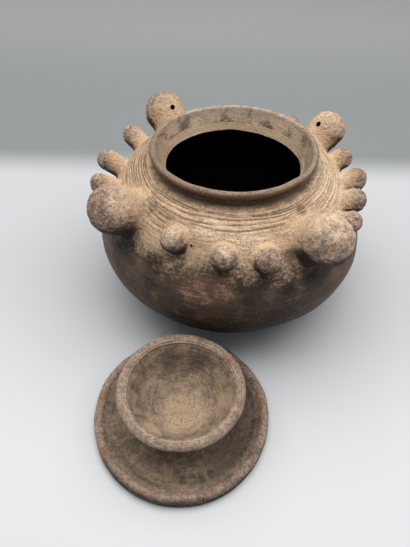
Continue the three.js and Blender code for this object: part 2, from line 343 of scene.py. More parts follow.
def smooth_step(value, low, high):
    """0 below low, 1 above high, and a soft change between; low may be the larger."""
    t = min(1.0, max(0.0, (value - low) / (high - low)))
    return t * t * (3 - 2 * t)


def nearness(target, far, close, section=Vector):
    """Weighs places from 0, this far from a target, to 1, this close; on a section if one is given."""
    return lambda place: smooth_step((section(place) - target).length, far, close)


# Modelling, as by hand

def coil_built(name, outline, sides, centre=(0.0, 0.0), depth_share=1.0):
    """Raises a round piece ring by ring up its outline, as a potter lays coils, and closes it."""
    has_floor = outline[0].x < 1.1 * CORE
    bpy.ops.object.select_all(action="DESELECT")
    bpy.ops.mesh.primitive_circle_add(
        vertices=sides,
        radius=outline[0].x,
        fill_type="TRIFAN" if has_floor else "NOTHING",
        location=(*centre, outline[0].y),
    )
    piece = bpy.context.object
    piece.name = name
    piece.data.name = name
    bpy.ops.object.transform_apply(location=True, rotation=True, scale=True)
    bpy.ops.object.mode_set(mode="EDIT")
    if has_floor:
        bpy.ops.mesh.select_all(action="DESELECT")
        bpy.ops.mesh.select_non_manifold()
    for below, above in zip(outline, outline[1:]):
        widen = above.x / below.x
        bpy.ops.mesh.extrude_region_move(TRANSFORM_OT_translate={"value": (0, 0, above.y - below.y)})
        bpy.ops.transform.resize(value=(widen, widen, 1), center_override=(*centre, above.y))
    if outline[-1].x < 1.1 * CORE:
        bpy.ops.mesh.edge_face_add()
        bpy.ops.mesh.poke()
    else:
        bpy.ops.mesh.select_all(action="DESELECT")
        bpy.ops.mesh.select_non_manifold()
        bpy.ops.mesh.bridge_edge_loops()
    bpy.ops.mesh.select_all(action="SELECT")
    bpy.ops.transform.resize(value=(1, depth_share, 1), center_override=(*centre, 0))
    bpy.ops.mesh.normals_make_consistent(inside=False)
    bpy.ops.object.mode_set(mode="OBJECT")
    return piece


def worked(piece, kind, **values):
    """Adds a modifier with these values and applies it."""
    modifier = piece.modifiers.new(kind.lower(), kind)
    for name, value in values.items():
        setattr(modifier, name, value)
    bpy.context.view_layer.objects.active = piece
    bpy.ops.object.modifier_apply(modifier=modifier.name)


def divided(piece, levels, kind):
    """Divides a piece's faces; the kind says whether that also rounds it."""
    worked(piece, "SUBSURF", subdivision_type=kind, levels=levels, render_levels=levels)


def weighed(piece, name, weight):
    """A vertex group whose weights follow from where each corner is."""
    group = piece.vertex_groups.new(name=name)
    for corner in piece.data.vertices:
        group.add([corner.index], min(1.0, max(0.0, weight(corner.co))), "REPLACE")
    return name


def marked(piece, name, value):
    """An attribute for the material, which follows from where each corner is."""
    attribute = piece.data.attributes.new(name, "FLOAT", "POINT")
    attribute.data.foreach_set("value", [value(corner.co) for corner in piece.data.vertices])


def clouds(name, size):
    """A soft pattern in space that pushes a wall about; the same on every piece that it reaches."""
    texture = bpy.data.textures.get(name)
    if texture is None:
        texture = bpy.data.textures.new(name, "CLOUDS")
        texture.cloud_type = "COLOR"
        texture.noise_scale = size
        texture.noise_depth = 2
    return texture


def hand_formed(piece, weight, grit=0.0):
    """Makes a wall as uneven as hands leave it, where the weight lets it move."""
    jar = settings().jar
    group = weighed(piece, "hand formed", weight)
    layers = [("lumps", LUMP_SIZE, jar.lumps), ("dents", DENT_SIZE, jar.dents + grit)]
    if grit > 0:
        layers.append(("grit", GRIT_SIZE, grit))
    for name, size, strength in layers:
        worked(
            piece,
            "DISPLACE",
            texture=clouds(name, size),
            texture_coords="LOCAL",
            direction="RGB_TO_XYZ",
            mid_level=0.5,
            strength=strength,
            vertex_group=group,
        )


def pushed(piece, direction, strength, name, weight):
    """Moves a wall along a direction, as far as a weight lets it move."""
    group = weighed(piece, name, weight)
    worked(piece, "DISPLACE", direction=direction, mid_level=0.0, strength=strength, vertex_group=group)


def bored(piece, mouth, direction, radius, depth):
    """Cuts a round tapering hole into a piece, from its mouth inwards along a direction."""
    proud = radius
    bpy.ops.object.select_all(action="DESELECT")
    bpy.ops.mesh.primitive_cone_add(
        vertices=HOLE_SIDES,
        radius1=radius * 1.1,
        radius2=radius * 0.75,
        depth=depth + proud,
        location=mouth + direction * (depth - proud) / 2,
        rotation=direction.to_track_quat("Z", "Y").to_euler(),
    )
    cutter = bpy.context.object
    worked(piece, "BOOLEAN", operation="DIFFERENCE", solver="EXACT", object=cutter)
    bpy.data.objects.remove(cutter)


def handed_over(piece, node, material):
    """Smooths a finished piece, paints it and lets it stand for its node."""
    bpy.ops.object.select_all(action="DESELECT")
    piece.select_set(True)
    bpy.context.view_layer.objects.active = piece
    bpy.ops.object.shade_smooth_by_angle(angle=SMOOTH_ANGLE)
    piece.vertex_groups.clear()
    piece.data.materials.clear()
    piece.data.materials.append(material)
    body = "lid" if node.startswith("lid") else "jar"
    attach(piece, body)
    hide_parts(node)


# Shapes of the jar

def shoulder_line():
    """The shoulder's outside, from the belly up to the clay smeared round the neck."""
    jar = settings().jar
    foot = THROAT_RADIUS + jar.neck_width
    belly_corner = point(BELLY.x, BELLY.z + jar.shoulder_rise)
    crown_corner = point(foot + jar.crown_reach, CROWN_HEIGHT)
    middle = (belly_corner + crown_corner) / 2
    low = bend(point(BELLY.x, BELLY.z + HALF_SLIP), belly_corner, middle)
    high = bend(middle, crown_corner, point(foot, CROWN_HEIGHT))
    return run_together(low, [p for p in high if p.x > foot + jar.neck_fillet])


def comb_furrow(place):
    """Depth share of the combed lines at a place: strokes that wander, fade and start again."""
    jar = settings().jar
    radius = place.xy.length
    reach = jar.comb_lines * jar.comb_pitch
    if place.z < CROWN_HEIGHT - COMB_BAND or not -reach < radius - jar.comb_radius < 2 * reach:
        return 0.0
    azimuth = math.atan2(place.x, -place.y)
    beside_front = smooth_step(abs(azimuth), 0.30, 0.70)
    deepest = 0.0
    for line in range(jar.comb_lines):
        kept = 1.0 if line < FRONT_LINES else beside_front
        line_radius = jar.comb_radius + jar.comb_pitch * (line + 0.3 * math.sin(5 * line))
        for stroke in range(STROKES):
            start = math.radians(STROKE_STEP * stroke + LINE_SHIFT * line)
            along = (azimuth - start) % math.tau
            span = math.radians(STROKE_LENGTH + LENGTH_STEP * ((line + stroke) % 4))
            if along > span:
                continue
            wander = 0.5 * math.sin(3 * along + line) + 0.16 * math.sin(11 * along + 2 * line + stroke)
            drift = 0.9 * math.sin(1.7 * (line + 1) * (stroke + 2)) * (along / span - 0.5)
            aim = line_radius + (wander + drift) * MM
            fade = kept * smooth_step(along, 0.0, 0.15) * smooth_step(span - along, 0.0, 0.3)
            press = 0.82 + 0.18 * math.sin(5 * along + 5 * line + 3 * stroke)
            share = (radius - aim) / jar.comb_width
            if abs(share) < 1:
                deepest = max(deepest, fade * press * (1 - share ** 2) ** 2)
    return deepest * smooth_step((place - CRUMB).length, 2 * MM, 5 * MM)


class KnobBall:
    """Middle, axis and radius of a knob's ball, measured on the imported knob's tip."""

    def __init__(self, node):
        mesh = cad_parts[node].data
        faces = [[mesh.vertices[index].co for index in face.vertices] for face in mesh.polygons]
        tip = max((corner for face in faces for corner in face), key=lambda c: (c - KNOB_AIM).length)
        around = [corner for face in faces if tip in face for corner in face if corner != tip]
        hub = sum(around, Vector()) / len(around)
        drop = (tip - hub).length
        self.axis = (tip - hub).normalized()
        self.radius = (drop ** 2 + (around[0] - hub).length ** 2) / (2 * drop)
        self.middle = tip - self.axis * self.radius
        self.downhill = (self.axis * self.axis.z - Vector((0, 0, 1))).normalized()

    def soot_and_shadow_under(self, place):
        """1 on the ground under the knob's downhill side, where sooty clay stays and the knob's shadow is
        painted.
        """
        under = self.middle - 0.9 * self.radius * self.axis + 0.95 * self.radius * self.downhill
        return smooth_step((place - under).length, 1.25 * self.radius, 0.45 * self.radius)

    def uphill_share(self, place):
        """1 on the knob's uphill side, -1 on its downhill side."""
        return -(place - self.middle).dot(self.downhill) / self.radius

    def frame(self):
        """The place and turn of the knob, with its axis up."""
        return Matrix.Translation(self.middle) @ self.axis.to_track_quat("Z", "Y").to_matrix().to_4x4()


def knob_outline(radius, lift, latitude, skirt):
    """A ball on a foot that flares into the shoulder, with 0 height at the ball's middle."""
    low = math.radians(latitude)
    waist = radius * point(math.cos(low), math.sin(low))
    slide = (lift + waist.y) / math.cos(low)
    corner = point(waist.x + slide * math.sin(low), -lift)
    edge = point(waist.x + skirt, -lift)
    root = point(edge.x - ROOT_DEPTH, -lift - ROOT_DEPTH)
    spacing = radius / 7
    flare = spaced(bend(edge, corner, waist), spacing)
    ball = spaced(arc(point(0, 0), radius, latitude, 90), spacing)
    ball[-1] = point(CORE, math.sqrt(radius ** 2 - CORE ** 2))
    floor = spaced([point(CORE, root.y), root], 2 * spacing)
    return run_together(floor, flare, ball)


def pressed_on(piece, target, group, depth):
    """Presses part of a piece against another, sunk by a depth."""
    worked(
        piece,
        "SHRINKWRAP",
        target=target,
        wrap_method="NEAREST_SURFACEPOINT",
        wrap_mode="ABOVE_SURFACE",
        offset=-depth,
        vertex_group=group,
    )


def knob(node, sides, skirt, steepest):
    """Makes a knob and smears its foot onto the shoulder; also gives back its ball."""
    shoulder = bpy.data.objects["shoulder_clay"]
    ball = KnobBall(node)
    found, seat, _, _ = shoulder.ray_cast(ball.middle, -ball.axis)
    if not found:
        raise RuntimeError(f"{node} has no shoulder under it")
    lift = (ball.middle - seat).length
    lowest = max(-1.0, min(0.0, (LEAST_FLARE - lift) / ball.radius))
    latitude = max(-steepest, math.degrees(math.asin(lowest)))
    piece = coil_built(f"{node}_clay", knob_outline(ball.radius, lift, latitude, skirt), sides)
    piece.matrix_world = ball.frame()
    bpy.ops.object.transform_apply(location=True, rotation=True, scale=True)
    divided(piece, 2, "CATMULL_CLARK")
    flare_top = lift + ball.radius * math.sin(math.radians(latitude))

    def above(place):
        return (place - ball.middle).dot(ball.axis) + lift

    def smeared(place):
        return smooth_step(above(place), flare_top, 0.0) if above(place) > -SKIRT_EDGE else 0.0

    def kneaded(place):
        rise = above(place)
        return smooth_step(rise, 0.0, 0.3 * flare_top) * smooth_step(rise, 1.9 * flare_top, 0.9 * flare_top)

    smear = weighed(piece, "smeared", smeared)
    root = weighed(piece, "rooted", lambda place: float(above(place) <= -SKIRT_EDGE))
    knead = weighed(piece, "kneaded", kneaded)
    pressed_on(piece, shoulder, smear, SKIRT_EDGE)
    pressed_on(piece, shoulder, root, ROOT_DEPTH)
    worked(piece, "SMOOTH", factor=0.5, iterations=14, vertex_group=knead)
    hand_formed(piece, lambda place: smooth_step(above(place), 0.0, flare_top), settings().jar.grit)
    marked(piece, "crest", lambda place: above(place) / (lift + ball.radius))
    marked(piece, "uphill", ball.uphill_share)
    return piece, ball


def lid_section(place):
    """A place on the lid as distance from the lid's axis and height."""
    return point((place.xy - LID_CENTRE).length, place.z)


# Shading nodes

class Nodes:
    """Short ways to add nodes to a tree; all but the first give back what to link from."""

    def __init__(self, tree):
        self.tree = tree

    def add(self, kind, values=(), **options):
        node = self.tree.nodes.new(kind)
        for name, value in options.items():
            setattr(node, name, value)
        for name, value in dict(values).items():
            self.feed(node.inputs[name], value)
        return node

    def feed(self, socket, value):
        if isinstance(value, bpy.types.NodeSocket):
            self.tree.links.new(value, socket)
        else:
            socket.default_value = value

    def math(self, operation, *values):
        return self.add("ShaderNodeMath", enumerate(values), operation=operation).outputs[0]

    def times(self, first, second):
        return self.math("MULTIPLY", first, second)

    def plus(self, first, second):
        return self.math("ADD", first, second)

    def strongest(self, *masks):
        """The strongest of several masks."""
        total = masks[0]
        for mask in masks[1:]:
            total = self.math("MAXIMUM", total, mask)
        return total

    def vector(self, operation, *values):
        node = self.add("ShaderNodeVectorMath", enumerate(values), operation=operation)
        return node.outputs["Value" if operation in {"LENGTH", "DOT_PRODUCT"} else "Vector"]

    def ramp(self, value, low, high, start=0.0, end=1.0):
        """A soft change from start to end as a value goes from low to high."""
        values = {"Value": value, "From Min": low, "From Max": high, "To Min": start, "To Max": end}
        return self.add("ShaderNodeMapRange", values, interpolation_type="SMOOTHSTEP").outputs["Result"]

    def mix(self, amount, first, second, blend="MIX"):
        node = self.add("ShaderNodeMix", data_type="RGBA", blend_type=blend)
        for socket, value in zip((node.inputs[0], node.inputs[6], node.inputs[7]), (amount, first, second)):
            self.feed(socket, (*value, 1.0) if isinstance(value, Color) else value)
        return node.outputs[2]

    def noise(self, place, scale, detail=4.0, roughness=0.6, distortion=0.0):
        values = {"Vector": place, "Scale": scale, "Detail": detail}
        values |= {"Roughness": roughness, "Distortion": distortion}
        return self.add("ShaderNodeTexNoise", values).outputs["Fac"]

    def split(self, vector):
        return self.add("ShaderNodeSeparateXYZ", {"Vector": vector}).outputs

    def flat(self, x, y):
        return self.add("ShaderNodeCombineXYZ", {"X": x, "Y": y}).outputs["Vector"]

    def grey(self, value):
        return self.add("ShaderNodeCombineColor", {"Red": value, "Green": value, "Blue": value}).outputs[0]

    def effect(self, tree, **values):
        """Places a shared effect; its inputs are named with capitals in the group."""
        node = self.add("ShaderNodeGroup")
        node.node_tree = tree
        for name, value in values.items():
            self.feed(node.inputs[name.replace("_", " ").title()], value)
        return node.outputs


def new_effect(name, inputs, outputs):
    """An empty shared effect with its sockets, and the nodes to fill it with."""
    tree = bpy.data.node_groups.new(name, "ShaderNodeTree")
    for label, kind in inputs.items():
        tree.interface.new_socket(label, in_out="INPUT", socket_type=f"NodeSocket{kind}")
    for label, kind in outputs.items():
        tree.interface.new_socket(label, in_out="OUTPUT", socket_type=f"NodeSocket{kind}")
    entry = tree.nodes.new("NodeGroupInput").outputs
    leave = tree.nodes.new("NodeGroupOutput").inputs
    return tree, Nodes(tree), entry, leave


def shared_effect(build):
    """Builds an effect the first time that a material asks for it."""
    def fetch():
        return bpy.data.node_groups.get(build.__name__) or build(build.__name__)
    return fetch


@shared_effect
def temper_grit(name):
    """Pale grains and dark pores of the clay's coarse temper."""
    outputs = {"Grains": "Float", "Pores": "Float", "Height": "Float"}
    tree, nodes, entry, leave = new_effect(name, {"Vector": "Vector", "Size": "Float"}, outputs)
    scale = nodes.math("DIVIDE", 1.0, entry["Size"])

    def specks(place, rare):
        cells = nodes.add("ShaderNodeTexVoronoi", {"Vector": place, "Scale": scale, "Randomness": 1.0})
        chance = nodes.split(cells.outputs["Color"])[0]
        core = nodes.ramp(cells.outputs["Distance"], 0.55, 0.20)
        return nodes.times(core, nodes.ramp(chance, rare, rare + 0.12))

    grains = specks(entry["Vector"], 0.72)
    pores = specks(nodes.vector("ADD", entry["Vector"], (0.37, 0.11, 0.23)), 0.66)
    skin = nodes.noise(entry["Vector"], nodes.times(scale, 0.45), 5.0, 0.7)
    height = nodes.plus(skin, nodes.times(grains, 0.35))
    height = nodes.math("SUBTRACT", height, nodes.times(pores, 0.6))
    nodes.feed(leave["Grains"], grains)
    nodes.feed(leave["Pores"], pores)
    nodes.feed(leave["Height"], height)
    return tree


@shared_effect
def mottling(name):
    """Patches with ragged edges, all over."""
    inputs = {"Vector": "Vector", "Size": "Float", "Low": "Float", "High": "Float"}
    tree, nodes, entry, leave = new_effect(name, inputs, {"Mask": "Float"})
    patchwork = nodes.noise(entry["Vector"], nodes.math("DIVIDE", 1.0, entry["Size"]), 7.0, 0.64, 0.35)
    nodes.feed(leave["Mask"], nodes.ramp(patchwork, entry["Low"], entry["High"]))
    return tree


def mottle(nodes, place, size, low, high):
    """Places the mottling, with patches of about a size that start at low and are full at high."""
    return nodes.effect(mottling(), vector=place, size=size, low=low, high=high)["Mask"]


@shared_effect
def hand_strokes(name):
    """Streaks round an upright axis, left by a wet hand or a pebble."""
    inputs = {"Vector": "Vector", "Width": "Float", "Length": "Float"}
    tree, nodes, entry, leave = new_effect(name, inputs, {"Mask": "Float"})
    x, y, z = nodes.split(entry["Vector"])
    radius = nodes.math("DIVIDE", nodes.vector("LENGTH", nodes.flat(x, y)), entry["Width"])
    place = nodes.add(
        "ShaderNodeCombineXYZ",
        {
            "X": nodes.math("DIVIDE", x, entry["Length"]),
            "Y": nodes.math("DIVIDE", y, entry["Length"]),
            "Z": nodes.math("DIVIDE", z, entry["Width"]),
        },
    ).outputs["Vector"]
    values = {"Vector": place, "W": radius, "Scale": 1.0, "Detail": 3.0, "Roughness": 0.6}
    streaks = nodes.add("ShaderNodeTexNoise", values, noise_dimensions="4D").outputs["Fac"]
    nodes.feed(leave["Mask"], streaks)
    return tree


@shared_effect
def single_patch(name):
    """One patch with a ragged edge round a place."""
    inputs = {"Vector": "Vector", "Centre": "Vector", "Radius": "Float"}
    tree, nodes, entry, leave = new_effect(name, inputs, {"Mask": "Float"})
    reach = nodes.vector("LENGTH", nodes.vector("SUBTRACT", entry["Vector"], entry["Centre"]))
    share = nodes.math("DIVIDE", reach, entry["Radius"])
    ragged = nodes.math("SUBTRACT", nodes.noise(entry["Vector"], 95.0, 6.0, 0.72), 0.5)
    edge = nodes.plus(share, nodes.times(ragged, 1.7))
    nodes.feed(leave["Mask"], nodes.ramp(edge, 1.05, 0.35))
    return tree


# Marks on the jar, in millimetres: where each is and how far it reaches
SOOT_MARKS = (
    ((22, -118, 98), 15), ((13, -122, 91), 11), ((5, -115, 107), 5), ((-67, -95, 105), 14),
    ((-72, -105, 84), 12), ((48, -93, 118), 12), ((56, -66, 141), 8), ((-73, -58, 138), 11),
    ((-92, -72, 104), 12), ((48, -112, 92), 10), ((110, 30, 95), 26), ((-60, 108, 96), 30),
    ((40, 118, 90), 28), ((-9, -120, 113), 8), ((27, -117, 110), 9), ((-47, -108, 112), 9),
)
ROSY_MARKS = (
    ((-27, -117, 96), 14), ((-14, -120, 98), 9), ((-38, -115, 92), 10), ((-3, -121, 95), 8),
    ((-20, -119, 89), 8),
)
RED_MARKS = (((92, -84, 84), 12), ((-100, 72, 82), 18), ((80, 98, 84), 16), ((-60, -104, 62), 14))
# Pale patches on the knobs' tops: partly pale dust, partly painted highlight.
DUST_AND_HIGHLIGHT_MARKS = (
    ((78, -88, 150), 32), ((-54, -97, 143), 16), ((97, 66, 146), 26), ((-93, -76, 149), 16),
    ((-9, -112, 139), 8),
)
# Dark marks on the lid: partly smudges, partly painted shade on the cup's back wall and in the trough.
LID_SMUDGE_AND_SHADE_MARKS = (
    ((-9, 31, 38), 15), ((13, 30, 38), 15), ((4, -60, 6), 6), ((11, -60, 6), 7), ((19, -58, 6), 7),
    ((26, -55, 6), 6), ((-34, 4, 44), 10), ((42, 26, 8), 18),
)
LID_RED_MARKS = (
    ((-65, -42, 9), 6), ((68, -14, 8), 4), ((69, -4, 8), 5), ((69, 7, 8), 5), ((67, 17, 8), 4),
    ((69, 2, 8), 4), ((27, -70, 8), 4), ((41, 27, 49), 6), ((-73, 12, 9), 5),
)
LID_DUST_MARKS = (((2, -12, 26), 33), ((33, -5, 40), 18), ((-22, -32, 38), 13), ((8, -64, 8), 12))
DUST_DRIFTS = (
    ((92, -22, 136), 46), ((8, -96, 132), 24), ((-20, -88, 138), 16), ((0, 100, 132), 40),
    ((84, -44, 140), 24),
)


def gritty(nodes, colour, grit, grains, pores, dark):
    """A colour with these shares of the temper's pale grains and dark pores in it."""
    colour = nodes.mix(nodes.times(grit["Grains"], grains), colour, settings().clay.grain)
    return nodes.mix(nodes.times(grit["Pores"], pores), colour, dark)


def patches(nodes, place, marks):
    """One mask for several marks."""
    outputs = [
        nodes.effect(single_patch(), vector=place, centre=Vector(centre) * MM, radius=reach * MM)["Mask"]
        for centre, reach in marks
    ]
    return nodes.strongest(*outputs)


@shared_effect
def jar_skin(name):
    """The jar's smoked and dusty skin, which runs on over all its pieces."""
    clay = settings().clay
    outputs = {"Color": "Color", "Roughness": "Float", "Height": "Float"}
    tree, nodes, entry, leave = new_effect(name, {"Vector": "Vector", "Normal": "Vector"}, outputs)
    place = entry["Vector"]
    height = nodes.split(place)[2]
    facing = nodes.split(entry["Normal"])[2]
    wide = nodes.noise(place, 21.0, 5.0, 0.6)
    ragged = nodes.noise(place, 78.0, 6.0, 0.7)
    fine = nodes.noise(place, 430.0, 4.0, 0.65)
    grit = nodes.effect(temper_grit(), vector=place, size=1.5 * MM)
    strokes = nodes.effect(hand_strokes(), vector=place, width=1.7 * MM, length=26 * MM)["Mask"]

    fired = nodes.mix(nodes.ramp(wide, 0.40, 0.60), clay.brown, clay.umber)
    burnt = mottle(nodes, place, 46 * MM, 0.55, 0.70)
    burnt = nodes.times(burnt, 0.35)
    streaky = nodes.ramp(fine, 0.40, 0.58, 0.30, 0.85)
    burnt = nodes.strongest(burnt, nodes.times(patches(nodes, place, RED_MARKS), streaky))
    fired = nodes.mix(burnt, fired, clay.red)
    rosy = nodes.times(patches(nodes, place, ROSY_MARKS), nodes.ramp(fine, 0.36, 0.60, 0.15, 0.95))
    rosy = nodes.times(rosy, nodes.ramp(ragged, 0.36, 0.60, 0.15, 0.95))

    smoke = mottle(nodes, place, 38 * MM, 0.50, 0.64)
    smoke = nodes.times(smoke, nodes.ramp(height, 125 * MM, 100 * MM))
    marks = patches(nodes, place, SOOT_MARKS)
    smoke = nodes.strongest(nodes.times(smoke, 0.52), nodes.times(marks, 0.58))
    # Lighter on the flanks, partly paler clay and partly a painted sheen; darker towards the bottom.
    side = nodes.ramp(nodes.math("ABSOLUTE", nodes.split(place)[0]), 40 * MM, 105 * MM, 1.0, 0.22)
    low = nodes.times(nodes.ramp(height, 112 * MM, 52 * MM, 0.0, 0.96), side)
    lowest = nodes.ramp(height, 64 * MM, 34 * MM, 0.0, 0.97)
    smoke = nodes.strongest(smoke, low, lowest)
    smoked = nodes.mix(smoke, fired, clay.soot_and_shade)
    smoked = nodes.mix(rosy, smoked, clay.rosy)

    level = nodes.plus(height, nodes.times(nodes.math("SUBTRACT", wide, 0.5), 36 * MM))
    level = nodes.plus(level, nodes.times(nodes.math("SUBTRACT", ragged, 0.5), 36 * MM))
    level = nodes.plus(level, nodes.times(nodes.math("SUBTRACT", fine, 0.5), 44 * MM))
    dust = nodes.ramp(level, 101 * MM, 121 * MM)
    dust = nodes.times(dust, nodes.ramp(facing, -0.15, 0.35))
    dust = nodes.times(dust, nodes.ramp(ragged, 0.32, 0.48, 0.72, 1.0))
    dust = nodes.times(dust, nodes.ramp(fine, 0.36, 0.50, 0.66, 1.0))
    dust = nodes.times(dust, nodes.ramp(marks, 0.0, 1.0, 1.0, 0.35))
    film = nodes.times(nodes.ramp(ragged, 0.50, 0.70), 0.12)
    dust = nodes.strongest(dust, nodes.times(film, nodes.ramp(facing, -0.6, 0.3)))
    thick = nodes.times(patches(nodes, place, DUST_DRIFTS), nodes.ramp(fine, 0.40, 0.56, 0.5, 1.0))
    coloured = nodes.mix(dust, smoked, nodes.mix(thick, clay.dust, clay.drift))

    rubbed = nodes.ramp(strokes, 0.38, 0.66, 0.78, 1.20)
    coloured = nodes.mix(1.0, coloured, nodes.grey(rubbed), "MULTIPLY")
    shown = nodes.ramp(dust, 0.0, 0.6, 0.07, 0.40)
    coloured = gritty(nodes, coloured, grit, shown, 0.50, clay.umber)

    nodes.feed(leave["Color"], coloured)
    nodes.feed(leave["Roughness"], nodes.ramp(dust, 0.0, 0.7, 0.46, 0.93))
    relief = nodes.plus(grit["Height"], nodes.times(strokes, 0.8))
    nodes.feed(leave["Height"], nodes.plus(relief, nodes.times(ragged, 0.8)))
    return tree


class Finish:
    """A clay material under way: its coordinates, its shader and what feeds them."""

    def __init__(self, name):
        self.material = bpy.data.materials.new(name)
        self.material.use_nodes = True
        tree = self.material.node_tree
        self.nodes = Nodes(tree)
        self.shader = tree.nodes["Principled BSDF"]
        self.place = self.nodes.add("ShaderNodeTexCoord").outputs["Object"]
        self.normal = self.nodes.add("ShaderNodeNewGeometry").outputs["Normal"]

    def skin(self):
        """The jar's skin, where this material is."""
        return self.nodes.effect(jar_skin(), vector=self.place, normal=self.normal)

    def attribute(self, name):
        """What a piece was marked with under a name."""
        return self.nodes.add("ShaderNodeAttribute", attribute_name=name).outputs["Fac"]

    def inside(self, centre):
        """1 on the walls that face in towards a middle point."""
        outwards = self.nodes.vector("SUBTRACT", self.place, centre)
        return self.nodes.math("LESS_THAN", self.nodes.vector("DOT_PRODUCT", outwards, self.normal), 0.0)

    def done(self, colour, roughness, height, sheen=DRY_SHEEN):
        """Feeds the shader; the sheen is the same all over."""
        bump = self.nodes.add("ShaderNodeBump", {"Height": height, "Strength": 1.0, "Distance": RELIEF})
        self.nodes.feed(self.shader.inputs["Base Color"], colour)
        self.nodes.feed(self.shader.inputs["Roughness"], roughness)
        self.nodes.feed(self.shader.inputs["Normal"], bump.outputs["Normal"])
        self.shader.inputs["Specular IOR Level"].default_value = sheen
        return self.material


def oval_radius(nodes, x, y):
    """Distance from the jar's axis, measured along the neck's oval."""
    return nodes.vector("LENGTH", nodes.flat(x, nodes.math("DIVIDE", y, NECK_DEPTH_SHARE)))


def kept_material(build):
    """Builds a material the first time that a piece asks for it."""
    def fetch():
        return bpy.data.materials.get(build.__name__) or build(Finish(build.__name__))
    return fetch


@kept_material
def smoke_dark_clay(finish):
    """The lower bowl: smoke-dark and hand-rubbed outside, painted black shade inside."""
    clay = settings().clay
    skin = finish.skin()
    # Painted shade: walls that face into the jar are painted black.
    colour = finish.nodes.mix(finish.inside(JAR_MIDDLE), skin["Color"], clay.hollow)
    return finish.done(colour, skin["Roughness"], skin["Height"], RUBBED_SHEEN)


@kept_material
def sandy_clay(finish):
    """The shoulder: sandy dust, browner in the combed lines, sooty and painted shadow under the knobs, and
    painted black shade inside.
    """
    clay = settings().clay
    nodes = finish.nodes
    skin = finish.skin()
    # The combed lines are browner, less so towards the right.
    line_darkening = nodes.ramp(nodes.noise(finish.place, 160.0, 4.0, 0.6), 0.36, 0.56, 0.45, 0.90)
    x, y, z = nodes.split(finish.place)
    line_darkening = nodes.times(line_darkening, nodes.ramp(x, 30 * MM, 85 * MM, 1.0, 0.45))
    lines = nodes.times(nodes.ramp(finish.attribute("furrow"), 0.10, 0.75), line_darkening)
    colour = nodes.mix(lines, skin["Color"], clay.brown)
    ragged = nodes.ramp(nodes.noise(finish.place, 110.0, 6.0, 0.7), 0.34, 0.60, 0.25, 0.95)
    # Under the knobs' downhill sides: partly sooty clay, partly painted shadow.
    soot_and_shadow_below = nodes.times(finish.attribute("soot_and_shadow_below"), ragged)
    colour = nodes.mix(soot_and_shadow_below, colour, clay.soot_and_shade)
    radius = oval_radius(nodes, x, y)
    reach = nodes.plus(radius, nodes.times(ragged, 6 * MM))
    reach = nodes.plus(reach, nodes.times(y, 0.05))
    neck_shade = nodes.ramp(reach, LIP.x + 8 * MM, LIP.x - 2 * MM, 0.0, 0.80)
    neck_shade = nodes.times(neck_shade, nodes.ramp(radius, THROAT_RADIUS + 6 * MM, THROAT_RADIUS + 9 * MM))
    colour = nodes.mix(neck_shade, colour, clay.brown)
    throat = nodes.ramp(radius, THROAT_RADIUS + 8 * MM, THROAT_RADIUS + 5 * MM)
    colour = nodes.mix(nodes.times(throat, 0.30), colour, clay.plum)
    # Paler at the back of the throat: partly dust, partly painted light.
    at_back = nodes.times(throat, nodes.ramp(y, 10 * MM, 50 * MM, 0.0, 0.70))
    colour = nodes.mix(at_back, colour, clay.drift)
    # Painted shade: below the throat and on inner walls that face down, painted black.
    low = nodes.ramp(z, CROWN_HEIGHT - 8.2 * MM, CROWN_HEIGHT - 9.2 * MM)
    under = nodes.ramp(nodes.split(finish.normal)[2], -0.05, -0.35)
    low = nodes.times(finish.inside(JAR_MIDDLE), nodes.strongest(low, under))
    colour = nodes.mix(low, colour, clay.hollow)
    return finish.done(colour, skin["Roughness"], skin["Height"], RUBBED_SHEEN)


